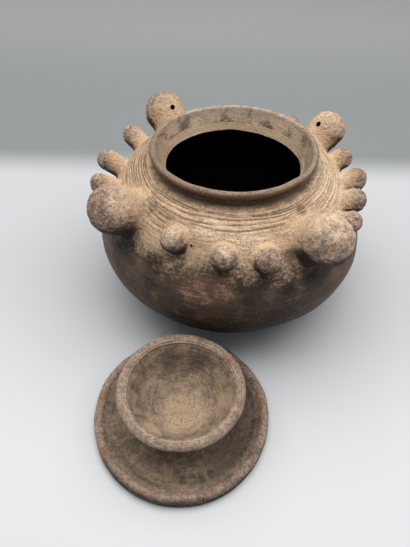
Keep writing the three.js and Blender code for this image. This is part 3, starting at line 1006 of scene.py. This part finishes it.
@kept_material
def handled_clay(finish):
    """The neck and lip: plum-brown and handled, red on its edge and sandy in its throat."""
    clay = settings().clay
    nodes = finish.nodes
    skin = finish.skin()
    x, y, z = nodes.split(finish.place)
    radius = oval_radius(nodes, x, y)
    handled = mottle(nodes, finish.place, 17 * MM, 0.36, 0.58)
    body = nodes.mix(handled, clay.umber, clay.plum)
    body = nodes.mix(0.15, body, skin["Color"])
    beside = nodes.ramp(nodes.math("ABSOLUTE", x), 35 * MM, 65 * MM, 0.0, 0.75)
    body = nodes.mix(beside, body, clay.olive)
    throat = nodes.ramp(radius, THROAT_RADIUS + 12 * MM, THROAT_RADIUS + 5 * MM)
    sandy = mottle(nodes, finish.place, 14 * MM, 0.36, 0.52)
    sandy = nodes.times(sandy, nodes.plus(nodes.times(throat, 0.72), 0.08))
    # More and paler dust towards the back: partly dust, partly painted light.
    sandy = nodes.times(sandy, nodes.ramp(y, -20 * MM, 50 * MM, 0.50, 1.15))
    back_sand_and_light = nodes.mix(nodes.ramp(y, 10 * MM, 50 * MM), clay.dust, clay.drift)
    body = nodes.mix(sandy, body, back_sand_and_light)

    # The lip's outside and faces that turn outwards: partly charred clay, partly painted shade.
    outer = nodes.ramp(radius, LIP.x - 4.2 * MM, LIP.x - 2.0 * MM)
    outer = nodes.times(outer, nodes.ramp(z, LIP.z - 1.0 * MM, LIP.z - 3.0 * MM))
    spread = nodes.vector("DOT_PRODUCT", nodes.flat(x, y), finish.normal)
    outer = nodes.strongest(outer, nodes.ramp(spread, 15 * MM, 40 * MM))
    outer = nodes.times(outer, nodes.ramp(z, LIP.z - 0.7 * MM, LIP.z - 2.8 * MM, 0.0, 0.80))
    body = nodes.mix(outer, body, clay.char)

    # Pale patches towards the back of the lip: partly ash, partly painted light.
    ash_and_light = mottle(nodes, finish.place, 10 * MM, 0.36, 0.60)
    ash_and_light = nodes.times(ash_and_light, nodes.ramp(y, 15 * MM, 58 * MM, 0.0, 0.72))
    ragged = nodes.times(nodes.noise(finish.place, 90.0, 5.0, 0.65), 10 * MM)
    out_of_throat = nodes.ramp(nodes.plus(radius, ragged), THROAT_RADIUS + 8 * MM, THROAT_RADIUS + 17 * MM)
    ash_and_light = nodes.times(ash_and_light, out_of_throat)
    ash_and_light = nodes.times(ash_and_light, nodes.ramp(radius, LIP.x - 1 * MM, LIP.x - 4 * MM))
    body = nodes.mix(ash_and_light, body, clay.ash)
    chafed = mottle(nodes, finish.place, 1.8 * MM, 0.38, 0.64)
    rubbed = nodes.mix(chafed, clay.red, clay.worn)
    edge = nodes.ramp(radius, LIP.x - 6.5 * MM, LIP.x - 4.0 * MM)
    edge = nodes.times(edge, nodes.ramp(z, LIP.z - 2.4 * MM, LIP.z - 0.6 * MM))
    patchy = mottle(nodes, finish.place, 12 * MM, 0.34, 0.56)
    edge = nodes.times(edge, nodes.plus(nodes.times(patchy, 0.40), 0.10))
    edge = nodes.times(edge, nodes.ramp(y, -60 * MM, 10 * MM, 0.60, 1.0))
    edge = nodes.times(edge, nodes.ramp(x, -60 * MM, -20 * MM, 0.40, 1.0))
    body = nodes.mix(edge, body, rubbed)
    grit = nodes.effect(temper_grit(), vector=finish.place, size=1.3 * MM)
    body = gritty(nodes, body, grit, 0.35, 0.45, clay.soot_and_shade)
    return finish.done(body, nodes.ramp(sandy, 0.0, 0.8, 0.58, 0.9), grit["Height"])


@kept_material
def rubbed_clay(finish):
    """The knobs: rubbed pale on top, gritty, black underneath from sooty clay and painted shade, with pale
    dust and painted highlights on some tops.
    """
    clay = settings().clay
    nodes = finish.nodes
    place = finish.place
    skin = finish.skin()
    crest = finish.attribute("crest")
    facing = nodes.split(finish.normal)[2]
    uphill = finish.attribute("uphill")
    ragged = nodes.math("SUBTRACT", nodes.noise(place, 120.0, 6.0, 0.7), 0.5)
    rubbed = nodes.ramp(nodes.plus(crest, nodes.times(ragged, 0.7)), 0.32, 0.62)
    patchy = mottle(nodes, place, 12 * MM, 0.40, 0.58)
    flecks = mottle(nodes, place, 5 * MM, 0.40, 0.60)
    speckle = mottle(nodes, place, 2.0 * MM, 0.36, 0.62)
    pale = nodes.times(flecks, nodes.ramp(speckle, 0.0, 1.0, 0.45, 1.0))
    pale = nodes.times(pale, nodes.ramp(patchy, 0.0, 1.0, 0.62, 1.0))
    # Pale dust and painted highlights on some knobs' tops.
    dust_and_highlight = nodes.times(patches(nodes, place, DUST_AND_HIGHLIGHT_MARKS), nodes.ramp(flecks, 0.0, 1.0, 0.55, 1.0))
    bare = nodes.mix(patchy, clay.brown, clay.plum)
    top = nodes.mix(pale, bare, clay.worn)
    top = nodes.mix(nodes.times(dust_and_highlight, 0.90), top, clay.drift)
    scorched = mottle(nodes, place, 9 * MM, 0.53, 0.63)
    top = nodes.mix(nodes.times(scorched, 0.62), top, clay.orange)
    grit = nodes.effect(temper_grit(), vector=place, size=2.4 * MM)
    top = nodes.mix(nodes.times(grit["Grains"], 0.75), top, clay.grain)
    dull = mottle(nodes, place, 6 * MM, 0.55, 0.70)
    top = nodes.mix(nodes.times(dull, 0.60), top, clay.umber)
    top = nodes.mix(nodes.times(grit["Pores"], 0.50), top, clay.soot_and_shade)
    colour = nodes.mix(nodes.times(rubbed, 0.90), skin["Color"], top)

    blown = nodes.ramp(nodes.plus(uphill, nodes.times(ragged, 1.0)), 0.20, 0.80)
    blown = nodes.times(blown, nodes.ramp(crest, 0.90, 0.45, 0.05, 0.60))
    grainy = nodes.ramp(nodes.noise(place, 330.0, 4.0, 0.65), 0.38, 0.54, 0.30, 1.0)
    colour = nodes.mix(nodes.times(blown, grainy), colour, clay.dust)
    # Undersides and downhill sides: partly sooty clay, partly painted shade.
    below = nodes.ramp(nodes.plus(uphill, nodes.times(ragged, 1.1)), -0.25, -0.80)
    below = nodes.strongest(below, nodes.ramp(facing, 0.10, -0.35))
    below = nodes.times(below, nodes.ramp(facing, 0.60, 0.15))
    colour = nodes.mix(nodes.times(below, 0.90), colour, clay.soot_and_shade)
    # Painted shade: the vent's floor is painted black.
    colour = nodes.mix(nodes.ramp(finish.attribute("painted_vent_shade"), 0.02, 0.15), colour, clay.hollow)
    height = nodes.plus(skin["Height"], nodes.times(grit["Height"], 1.6))
    return finish.done(colour, nodes.ramp(rubbed, 0.0, 1.0, 0.9, 0.72), height)


@kept_material
def turned_clay(finish):
    """The lid: olive-brown with turning streaks, sandy in the cup, rubbed pink along its edges, with
    painted shade on its undersides, in its creases and in its trough.
    """
    clay = settings().clay
    nodes = finish.nodes
    centre = Vector((*LID_CENTRE, 0))
    place = nodes.vector("SUBTRACT", finish.place, centre)
    x, _, z = nodes.split(place)
    facing = nodes.split(finish.normal)[2]
    wide = nodes.noise(place, 36.0, 5.0, 0.6)
    ragged = nodes.noise(place, 105.0, 6.0, 0.7)
    streaks = nodes.effect(hand_strokes(), vector=place, width=1.3 * MM, length=17 * MM)["Mask"]
    speckle = mottle(nodes, place, 2.6 * MM, 0.32, 0.70)
    flecks = mottle(nodes, place, 4.5 * MM, 0.42, 0.60)
    grit = nodes.effect(temper_grit(), vector=place, size=1.2 * MM)
    body = nodes.mix(nodes.ramp(wide, 0.40, 0.64, 0.0, 0.55), clay.olive, clay.umber)
    burnt = mottle(nodes, place, 20 * MM, 0.56, 0.70)
    body = nodes.mix(nodes.times(burnt, 0.32), body, clay.red)
    mottled = nodes.mix(flecks, clay.umber, clay.olive)
    body = nodes.mix(0.45, body, mottled)

    settled = patches(nodes, place, LID_DUST_MARKS)
    film = nodes.times(nodes.ramp(ragged, 0.40, 0.62), 0.32)
    film = nodes.times(film, nodes.ramp(facing, -0.2, 0.6))
    dust = nodes.strongest(nodes.times(settled, 0.50), film)
    body = nodes.mix(dust, body, clay.dust)
    streaky = nodes.ramp(streaks, 0.36, 0.66, 0.84, 1.16)
    body = nodes.mix(nodes.ramp(dust, 0.2, 0.7, 1.0, 0.3), body, nodes.grey(streaky), "MULTIPLY")

    broken = nodes.ramp(ragged, 0.38, 0.60, 0.25, 0.74)
    smudge_and_shade = nodes.times(patches(nodes, place, LID_SMUDGE_AND_SHADE_MARKS), broken)
    # Painted shade in the trough's right half.
    trough = nodes.times(nodes.ramp(z, 16 * MM, 11 * MM), nodes.ramp(x, 10 * MM, 50 * MM))
    smudge_and_shade = nodes.strongest(smudge_and_shade, nodes.times(trough, broken))
    body = nodes.mix(smudge_and_shade, body, clay.soot_and_shade)
    # Painted shade on the lid's down-facing surfaces.
    soot_and_shadow_below = nodes.ramp(facing, 0.30, -0.30, 0.0, 0.78)
    body = nodes.mix(soot_and_shadow_below, body, clay.soot_and_shade)

    edges = finish.attribute("handled edge")
    patchy = mottle(nodes, place, 11 * MM, 0.34, 0.58)
    worn_share = nodes.times(edges, nodes.ramp(patchy, 0.0, 1.0, 0.25, 0.76))
    worn_share = nodes.times(worn_share, nodes.ramp(facing, -0.1, 0.5))
    rubbed = nodes.mix(nodes.ramp(speckle, 0.0, 1.0, 0.15, 0.85), clay.plum, clay.worn)
    ruddy = mottle(nodes, place, 7 * MM, 0.50, 0.64)
    rubbed = nodes.mix(nodes.times(ruddy, 0.30), rubbed, clay.orange)
    body = nodes.mix(worn_share, body, rubbed)
    # Painted shade on the roll's lower outside and along its front.
    body = nodes.mix(nodes.times(finish.attribute("painted shade face"), 0.93), body, clay.soot_and_shade)
    # Painted shade in the corner beside the roll and in the groove inside the cup's lip.
    crease = nodes.times(finish.attribute("crease"), nodes.ramp(ragged, 0.40, 0.60, 0.05, 0.60))
    body = nodes.mix(crease, body, clay.soot_and_shade)
    # Painted highlight along the edge above the groove inside the cup's lip.
    line = nodes.times(finish.attribute("painted highlight line"), nodes.ramp(ragged, 0.36, 0.54, 0.15, 0.65))
    body = nodes.mix(line, body, clay.grain)
    chips = nodes.times(patches(nodes, place, LID_RED_MARKS), 0.85)
    body = nodes.mix(chips, body, nodes.mix(flecks, clay.red, clay.orange))

    shown = nodes.ramp(edges, 0.0, 1.0, 0.14, 0.40)
    body = gritty(nodes, body, grit, shown, 0.50, clay.soot_and_shade)
    height = nodes.plus(grit["Height"], nodes.times(streaks, 1.2))
    return finish.done(body, nodes.ramp(dust, 0.0, 0.8, 0.70, 0.93), height)


# Operators

class MakeBaseBowl(bpy.types.Operator):
    """Makes the round lower half of the belly"""

    bl_idname = "libation_jar.base_bowl"
    bl_label = "Base Bowl"

    def execute(self, context):
        jar = settings().jar
        seam = BELLY.z + HALF_SLIP
        depth = BELLY.z / math.sqrt(1 - (BASE_RADIUS / BELLY.x) ** 2)
        floor = spaced([point(CORE, 0), point(BASE_RADIUS, 0)], HIDDEN_RINGS)
        outside = spaced(bowl(BELLY.x, depth, BELLY.z, BASE_RADIUS), WIDE_RINGS)
        outside[-1] = point(BELLY.x, seam)
        inside = spaced(bowl(BELLY.x - jar.wall, BELLY.z - jar.floor, BELLY.z, CORE), HIDDEN_RINGS)
        inside[-1] = point(BELLY.x - jar.wall, seam)
        piece = coil_built("base_bowl_clay", run_together(floor, outside, inside[::-1]), JAR_SIDES)
        divided(piece, 1, "SIMPLE")
        hand_formed(piece, lambda place: smooth_step(place.z, 1 * MM, 16 * MM))
        handed_over(piece, "base_bowl", smoke_dark_clay())
        return {"FINISHED"}


class MakeShoulder(bpy.types.Operator):
    """Makes the upper half of the belly, with its combed lines"""

    bl_idname = "libation_jar.shoulder"
    bl_label = "Shoulder"

    def execute(self, context):
        jar = settings().jar
        line = shoulder_line()
        combed = jar.comb_radius + jar.comb_pitch * jar.comb_lines
        crown = CROWN_HEIGHT - CROWN_BAND
        low = spaced([p for p in line if p.x >= combed or p.y < crown], WIDE_RINGS)
        high = spaced([low[-1]] + [p for p in line if p.x < combed and p.y >= crown], FINE_RINGS)
        under = [self.under(line, step, jar.wall) for step in range(0, len(line), 5)]
        throat_high = point(THROAT_RADIUS + jar.funnel, CROWN_HEIGHT + HALF_SLIP)
        throat_low = point(THROAT_RADIUS, CROWN_HEIGHT - jar.wall - 0.5 * MM)
        throat_edge = bend(throat_low.lerp(throat_high, 0.15), throat_low, throat_low + point(3 * MM, 0))
        throat = run_together([throat_high], throat_edge)
        inside = run_together([throat[-1]], [p for p in under[::-1] if p.x > throat[-1].x + 4 * MM])
        inside.append(point(BELLY.x - jar.wall, BELLY.z + HALF_SLIP))
        outline = run_together(low, high, spaced(throat, 2 * FINE_RINGS), spaced(inside, HIDDEN_RINGS))
        piece = coil_built("shoulder_clay", outline, JAR_SIDES)
        divided(piece, 1, "SIMPLE")
        pushed(piece, "NORMAL", -jar.comb_depth, "combed", comb_furrow)
        pushed(piece, "NORMAL", jar.crumb, "crumb", nearness(CRUMB, 3.2 * MM, 0.8 * MM))
        marked(piece, "furrow", comb_furrow)
        balls = [KnobBall(node) for node in LARGE_KNOBS + SMALL_KNOBS]
        # Where the knobs' painted shadow and sooty clay lie on the shoulder.
        marked(piece, "soot_and_shadow_below", lambda place: max(ball.soot_and_shadow_under(place) for ball in balls))
        self.draw_oval(piece)
        hand_formed(piece, lambda place: 1.0)
        bored(piece, PIT, -(PIT - KNOB_AIM).normalized(), jar.pit, jar.pit_depth)
        handed_over(piece, "shoulder", sandy_clay())
        return {"FINISHED"}

    def draw_oval(self, piece):
        """Draws the crown in at the front and the back, to meet the oval neck."""
        for side in (1, -1):
            def pull(place):
                near = smooth_step(place.xy.length, THROAT_RADIUS + 34 * MM, THROAT_RADIUS + 8 * MM)
                return near * max(0.0, side * place.y) / THROAT_RADIUS

            pushed(piece, "Y", -side * THROAT_RADIUS * (1 - NECK_DEPTH_SHARE), f"pulled {side}", pull)

    def under(self, line, step, wall):
        """A point on the inside, a wall's thickness from the outside."""
        a, b = line[max(0, step - 1)], line[min(len(line) - 1, step + 1)]
        along = (b - a).normalized()
        return line[step] + point(-along.y, along.x) * wall


class MakeNeckRim(bpy.types.Operator):
    """Makes the short neck and its flared lip"""

    bl_idname = "libation_jar.neck_rim"
    bl_label = "Neck and Lip"

    def execute(self, context):
        jar = settings().jar
        foot = point(THROAT_RADIUS + jar.neck_width, CROWN_HEIGHT + HALF_SLIP)
        half = jar.lip / 2
        lip = point(LIP.x - half, LIP.z - half)
        round_lip = arc(lip, half, -35, 138)
        smear = point(shoulder_line()[-1].x, foot.y)
        neck = point(foot.x, foot.y + jar.neck_fillet * 0.75)
        fillet = bend(smear, foot, neck)
        flare = bend(neck, point(foot.x, round_lip[0].y - 0.6 * MM), round_lip[0])
        throat = point(THROAT_RADIUS + jar.funnel, foot.y)
        turn = throat.lerp(round_lip[-1], 0.12)
        funnel = run_together([round_lip[-1]], bend(turn, throat.lerp(turn, 0.4), throat))
        outside = spaced(run_together(fillet, flare, round_lip, funnel), 2 * FINE_RINGS)
        piece = coil_built("neck_rim_clay", outside, JAR_SIDES, depth_share=NECK_DEPTH_SHARE)
        divided(piece, 1, "SIMPLE")
        hand_formed(piece, lambda place: 1.0)
        handed_over(piece, "neck_rim", handled_clay())
        return {"FINISHED"}


class MakeLargeKnobs(bpy.types.Operator):
    """Makes the four large knobs, each a ball with a vent"""

    bl_idname = "libation_jar.large_knobs"
    bl_label = "Large Knobs"

    def execute(self, context):
        jar = settings().jar
        for node in LARGE_KNOBS:
            piece, ball = knob(node, BALL_SIDES, jar.ball_skirt, BALL_STEEPEST)
            out = self.vent_direction(node, ball)
            bpy.context.view_layer.update()
            found, mouth, _, _ = piece.ray_cast(ball.middle + 3 * ball.radius * out, -out)
            if not found:
                raise RuntimeError(f"{node} has no place for its vent")
            bored(piece, mouth, -out, jar.vent, jar.vent_depth)
            floor = mouth - out * jar.vent_depth
            # Marks the vent's floor, where black shade is painted.
            marked(piece, "painted_vent_shade", nearness(floor, 1.5 * jar.vent, jar.vent))
            handed_over(piece, node, rubbed_clay())
        return {"FINISHED"}

    def vent_direction(self, node, ball):
        """Back vents point in towards the mouth; front ones lie lower and are turned to the back."""
        at_back = "back" in node
        tilt = math.radians(BACK_TILT if at_back else FRONT_TILT)
        turn = 0.0 if at_back else math.copysign(math.radians(FRONT_TURN), -ball.middle.x)
        inwards = Matrix.Rotation(turn, 3, "Z") @ Vector((-ball.middle.x, -ball.middle.y, 0)).normalized()
        return inwards * math.cos(tilt) + Vector((0, 0, math.sin(tilt)))


class MakeSmallKnobs(bpy.types.Operator):
    """Makes the small knobs between the large ones"""

    bl_idname = "libation_jar.small_knobs"
    bl_label = "Small Knobs"

    def execute(self, context):
        jar = settings().jar
        for node in SMALL_KNOBS:
            piece, ball = knob(node, PEG_SIDES, jar.peg_skirt, PEG_STEEPEST)
            if (ball.middle - PIT).length < 2 * ball.radius:
                bored(piece, PIT, -ball.axis, jar.pit, jar.pit_depth)
            handed_over(piece, node, rubbed_clay())
        return {"FINISHED"}


class MakeLidPlate(bpy.types.Operator):
    """Makes the lid's plate with its rolled edge"""

    bl_idname = "libation_jar.lid_plate"
    bl_label = "Lid Plate"

    def execute(self, context):
        lid = settings().lid
        half = lid.roll / 2
        roll = point(PLATE_HALF - half, half + lid.edge_lift)
        wall = point(PLATE_HALF, 0.4 * half)
        heel = point(PLATE_HALF - 1.6 * MM, 0.5 * MM)
        edge = run_together(bend(heel, point(wall.x, heel.y), wall), arc(roll, half, 0, 150))
        crease = point(roll.x - half - 4.5 * MM, lid.roll - lid.crease)
        trough = point(roll.x - 2 * lid.roll, lid.roll - lid.trough_depth)
        boss = point(lid.foot, PLATE_HIGH.z)
        dip = run_together(bend(edge[-1], point(crease.x + 2.2 * MM, crease.y), crease), [trough])
        rise = bend(trough, point(boss.x + half, trough.y + 0.5 * MM), boss)
        sole = point(edge[0].x - lid.roll, 0)
        floor = spaced([point(CORE, 0), sole], HIDDEN_RINGS)
        edge = run_together([sole], edge)
        top = spaced([boss, point(CORE, boss.y)], HIDDEN_RINGS)
        outline = run_together(floor, spaced(run_together(edge, dip, rise), 2 * FINE_RINGS), top)
        piece = coil_built("lid_plate_clay", outline, LID_SIDES, LID_CENTRE)
        divided(piece, 1, "SIMPLE")
        inner = roll.x - half

        def handled(place):
            return smooth_step(lid_section(place).x, inner - 8 * MM, inner + 2 * MM)

        marked(piece, "handled edge", handled)
        marked(piece, "crease", lambda place: self.crease_shade(place, crease))
        marked(piece, "painted shade face", lambda place: self.painted_face_shade(place, roll))
        pushed(piece, "Y", -lid.drawn_out, "front", self.frontness)
        hand_formed(piece, lambda place: smooth_step(place.z, 0.2 * MM, 4 * MM))
        handed_over(piece, "lid_plate", turned_clay())
        return {"FINISHED"}

    def azimuth(self, place):
        """Degrees round the lid, from its front to the right."""
        return math.degrees(math.atan2(place.x - LID_CENTRE.x, LID_CENTRE.y - place.y))

    def frontness(self, place):
        """0 behind the lid's middle, 1 at its front edge."""
        return smooth_step(LID_CENTRE.y - place.y, 0.0, PLATE_HALF)

    def crease_shade(self, place, crease):
        """Painted shade in the corner beside the roll: some all round, and full at the left front and the
        right.
        """
        turn = self.azimuth(place)
        drawn = max(smooth_step(abs(turn - middle), reach, reach / 2) for middle, reach in CREASE_SHADES)
        return (0.2 + 0.8 * drawn) * nearness(crease, 3.0 * MM, 0.6 * MM, lid_section)(place)

    def painted_face_shade(self, place, roll):
        """Painted shade: 1 on the lower outside of the roll, and up to near its crest at the front."""
        seen = lid_section(place) - roll
        low = smooth_step(seen.x, 2 * MM, 3.4 * MM) * smooth_step(seen.y, 2.4 * MM, 0.0)
        high = 0.85 * smooth_step(seen.x, 0.4 * MM, 4.2 * MM)
        return max(low, high * smooth_step(abs(self.azimuth(place) - DARK_FRONT), DARK_END, DARK_FULL))


class MakeLidCup(bpy.types.Operator):
    """Makes the cup that is the lid's handle"""

    bl_idname = "libation_jar.lid_cup"
    bl_label = "Lid Cup"

    def execute(self, context):
        lid = settings().lid
        foot = point(lid.foot, CUP_LOW.z)
        half = lid.lip / 2
        lip = point((CUP_HIGH.x - CUP_LOW.x) / 2 - half, CUP_HIGH.z - half)
        round_lip = arc(lip, half, -50, 115)
        under = round_lip[0]
        stem = bend(foot, point(foot.x - lid.waist, (foot.y + under.y) / 2), under)
        over = round_lip[-1] - point(0.8, 0.7) * MM
        floor = point(lid.floor_radius, foot.y + lid.floor)
        hollow = bend(over, point((floor.x + over.x) / 2, floor.y), floor)
        inside = spaced(run_together(hollow, [floor, point(CORE, floor.y)]), FINE_RINGS)
        inside = self.tooled(inside, lid)
        sole = spaced([point(CORE, foot.y), foot], HIDDEN_RINGS)
        outside = spaced(run_together(stem, round_lip), 1.6 * FINE_RINGS)
        piece = coil_built("lid_cup_clay", run_together(sole, outside, inside), LID_SIDES, LID_CENTRE)
        divided(piece, 1, "SIMPLE")
        groove = over + point(-0.5, -3.2) * MM
        marked(piece, "handled edge", nearness(lip, 7.0 * MM, 4.2 * MM, lid_section))
        # Where the highlight on the edge above the groove is painted.
        marked(piece, "painted highlight line", nearness(over, 1.1 * MM, 0.3 * MM, lid_section))
        # Painted shade in the groove inside the cup's lip.
        marked(piece, "crease", nearness(groove, 1.2 * MM, 0.3 * MM, lid_section))
        hand_formed(piece, lambda place: smooth_step(place.z, foot.y, foot.y + 8 * MM))
        handed_over(piece, "lid_cup", turned_clay())
        return {"FINISHED"}

    def tooled(self, line, lid):
        """Turning marks up the inside of the cup, and the fine groove under its lip."""
        marked_line = [line[0]]
        walked = 0.0
        for before, here, after in zip(line, line[1:], line[2:]):
            walked += (here - before).length
            along = (after - before).normalized()
            mark = lid.tooling * math.sin(math.tau * walked / lid.tooling_pitch)
            groove = lid.groove * max(0.0, 1 - ((walked - 3.0 * MM) / (1.0 * MM)) ** 2)
            marked_line.append(here + point(along.y, -along.x) * (groove - mark))
        return marked_line + [line[-1]]


class MakeStage(bpy.types.Operator):
    """Makes the floor, the light and the view"""

    bl_idname = "libation_jar.stage"
    bl_label = "Floor, Light and View"

    def execute(self, context):
        stage = settings().stage
        self.floor(stage)
        self.light(stage)
        self.view()
        context.scene.view_settings.view_transform = "Standard"
        return {"FINISHED"}

    def floor(self, stage):
        """A wide pale floor with painted shade near the jar, lighter in front and darker behind the jar."""
        bpy.ops.object.select_all(action="DESELECT")
        bpy.ops.mesh.primitive_plane_add(size=FLOOR_SIZE, location=(0, 0, -FLOOR_DROP))
        floor = bpy.context.object
        floor.name = "floor"
        material = bpy.data.materials.new("floor_paper")
        material.use_nodes = True
        nodes = Nodes(material.node_tree)
        depth = nodes.split(nodes.add("ShaderNodeTexCoord").outputs["Object"])[1]
        paper = nodes.mix(nodes.ramp(depth, *FLOOR_FRONT), stage.floor_front, stage.shaded_near_floor)
        turn = nodes.ramp(depth, stage.floor_turn - FLOOR_TURN_HALF, stage.floor_turn + FLOOR_TURN_HALF)
        paper = nodes.mix(turn, paper, stage.floor_far)
        paper = nodes.mix(nodes.ramp(depth, *FLOOR_BACK), paper, stage.floor_back)
        shader = material.node_tree.nodes["Principled BSDF"]
        nodes.feed(shader.inputs["Base Color"], paper)
        shader.inputs["Roughness"].default_value = FLOOR_ROUGHNESS
        shader.inputs["Specular IOR Level"].default_value = FLOOR_SHEEN
        floor.data.materials.append(material)

    def light(self, stage):
        """One large softbox above and behind, and even light from all round."""
        bpy.ops.object.light_add(type="AREA", location=SOFTBOX_PLACE)
        lamp = bpy.context.object
        lamp.name = "softbox"
        lamp.data.shape = "RECTANGLE"
        lamp.data.size = SOFTBOX_WIDTH
        lamp.data.size_y = SOFTBOX_DEPTH
        lamp.data.energy = stage.softbox
        lamp.rotation_euler = (SOFTBOX_AIM - SOFTBOX_PLACE).to_track_quat("-Z", "Y").to_euler()
        world = bpy.data.worlds.new("studio")
        world.use_nodes = True
        background = world.node_tree.nodes["Background"]
        background.inputs["Color"].default_value = FILL_TINT
        background.inputs["Strength"].default_value = stage.sky
        bpy.context.scene.world = world

    def view(self):
        """The view that the jar was photographed from: close, and looking well down."""
        bpy.ops.object.camera_add(location=EYE)
        camera = bpy.context.object
        camera.name = "view"
        camera.rotation_mode = "ZYX"
        camera.rotation_euler = (math.pi / 2 - LOOK_DOWN, 0.0, LEAN)
        camera.data.sensor_width = SENSOR
        camera.data.lens = SENSOR * FOCUS_ROWS / PICTURE_ROWS
        camera.data.clip_start = 0.01
        bpy.context.scene.camera = camera


OPERATORS = (
    MakeBaseBowl,
    MakeShoulder,
    MakeNeckRim,
    MakeLargeKnobs,
    MakeSmallKnobs,
    MakeLidPlate,
    MakeLidCup,
    MakeStage,
)


class LibationJarPanel(bpy.types.Panel):
    """Lists the jar's pieces and what can be changed on them"""

    bl_idname = "VIEW3D_PT_libation_jar"
    bl_label = "Libation Jar"
    bl_space_type = "VIEW_3D"
    bl_region_type = "UI"
    bl_category = "Jar"

    def draw(self, context):
        for operator in OPERATORS:
            self.layout.operator(operator.bl_idname)
        chosen = context.scene.libation_jar
        for group in (chosen.jar, chosen.lid, chosen.clay, chosen.stage):
            box = self.layout.box()
            for name in group.bl_rna.properties.keys():
                if name not in {"rna_type", "name"}:
                    box.prop(group, name)


CLASSES = (JarSizes, LidSizes, ClayColours, StageSettings, LibationJar, *OPERATORS, LibationJarPanel)


def register():
    for one in CLASSES:
        bpy.utils.register_class(one)
    bpy.types.Scene.libation_jar = bpy.props.PointerProperty(type=LibationJar)


def unregister():
    del bpy.types.Scene.libation_jar
    for one in reversed(CLASSES):
        bpy.utils.unregister_class(one)


def main():
    register()
    for operator in OPERATORS:
        group, name = operator.bl_idname.split(".")
        getattr(getattr(bpy.ops, group), name)()


if __name__ == "__main__":
    main()
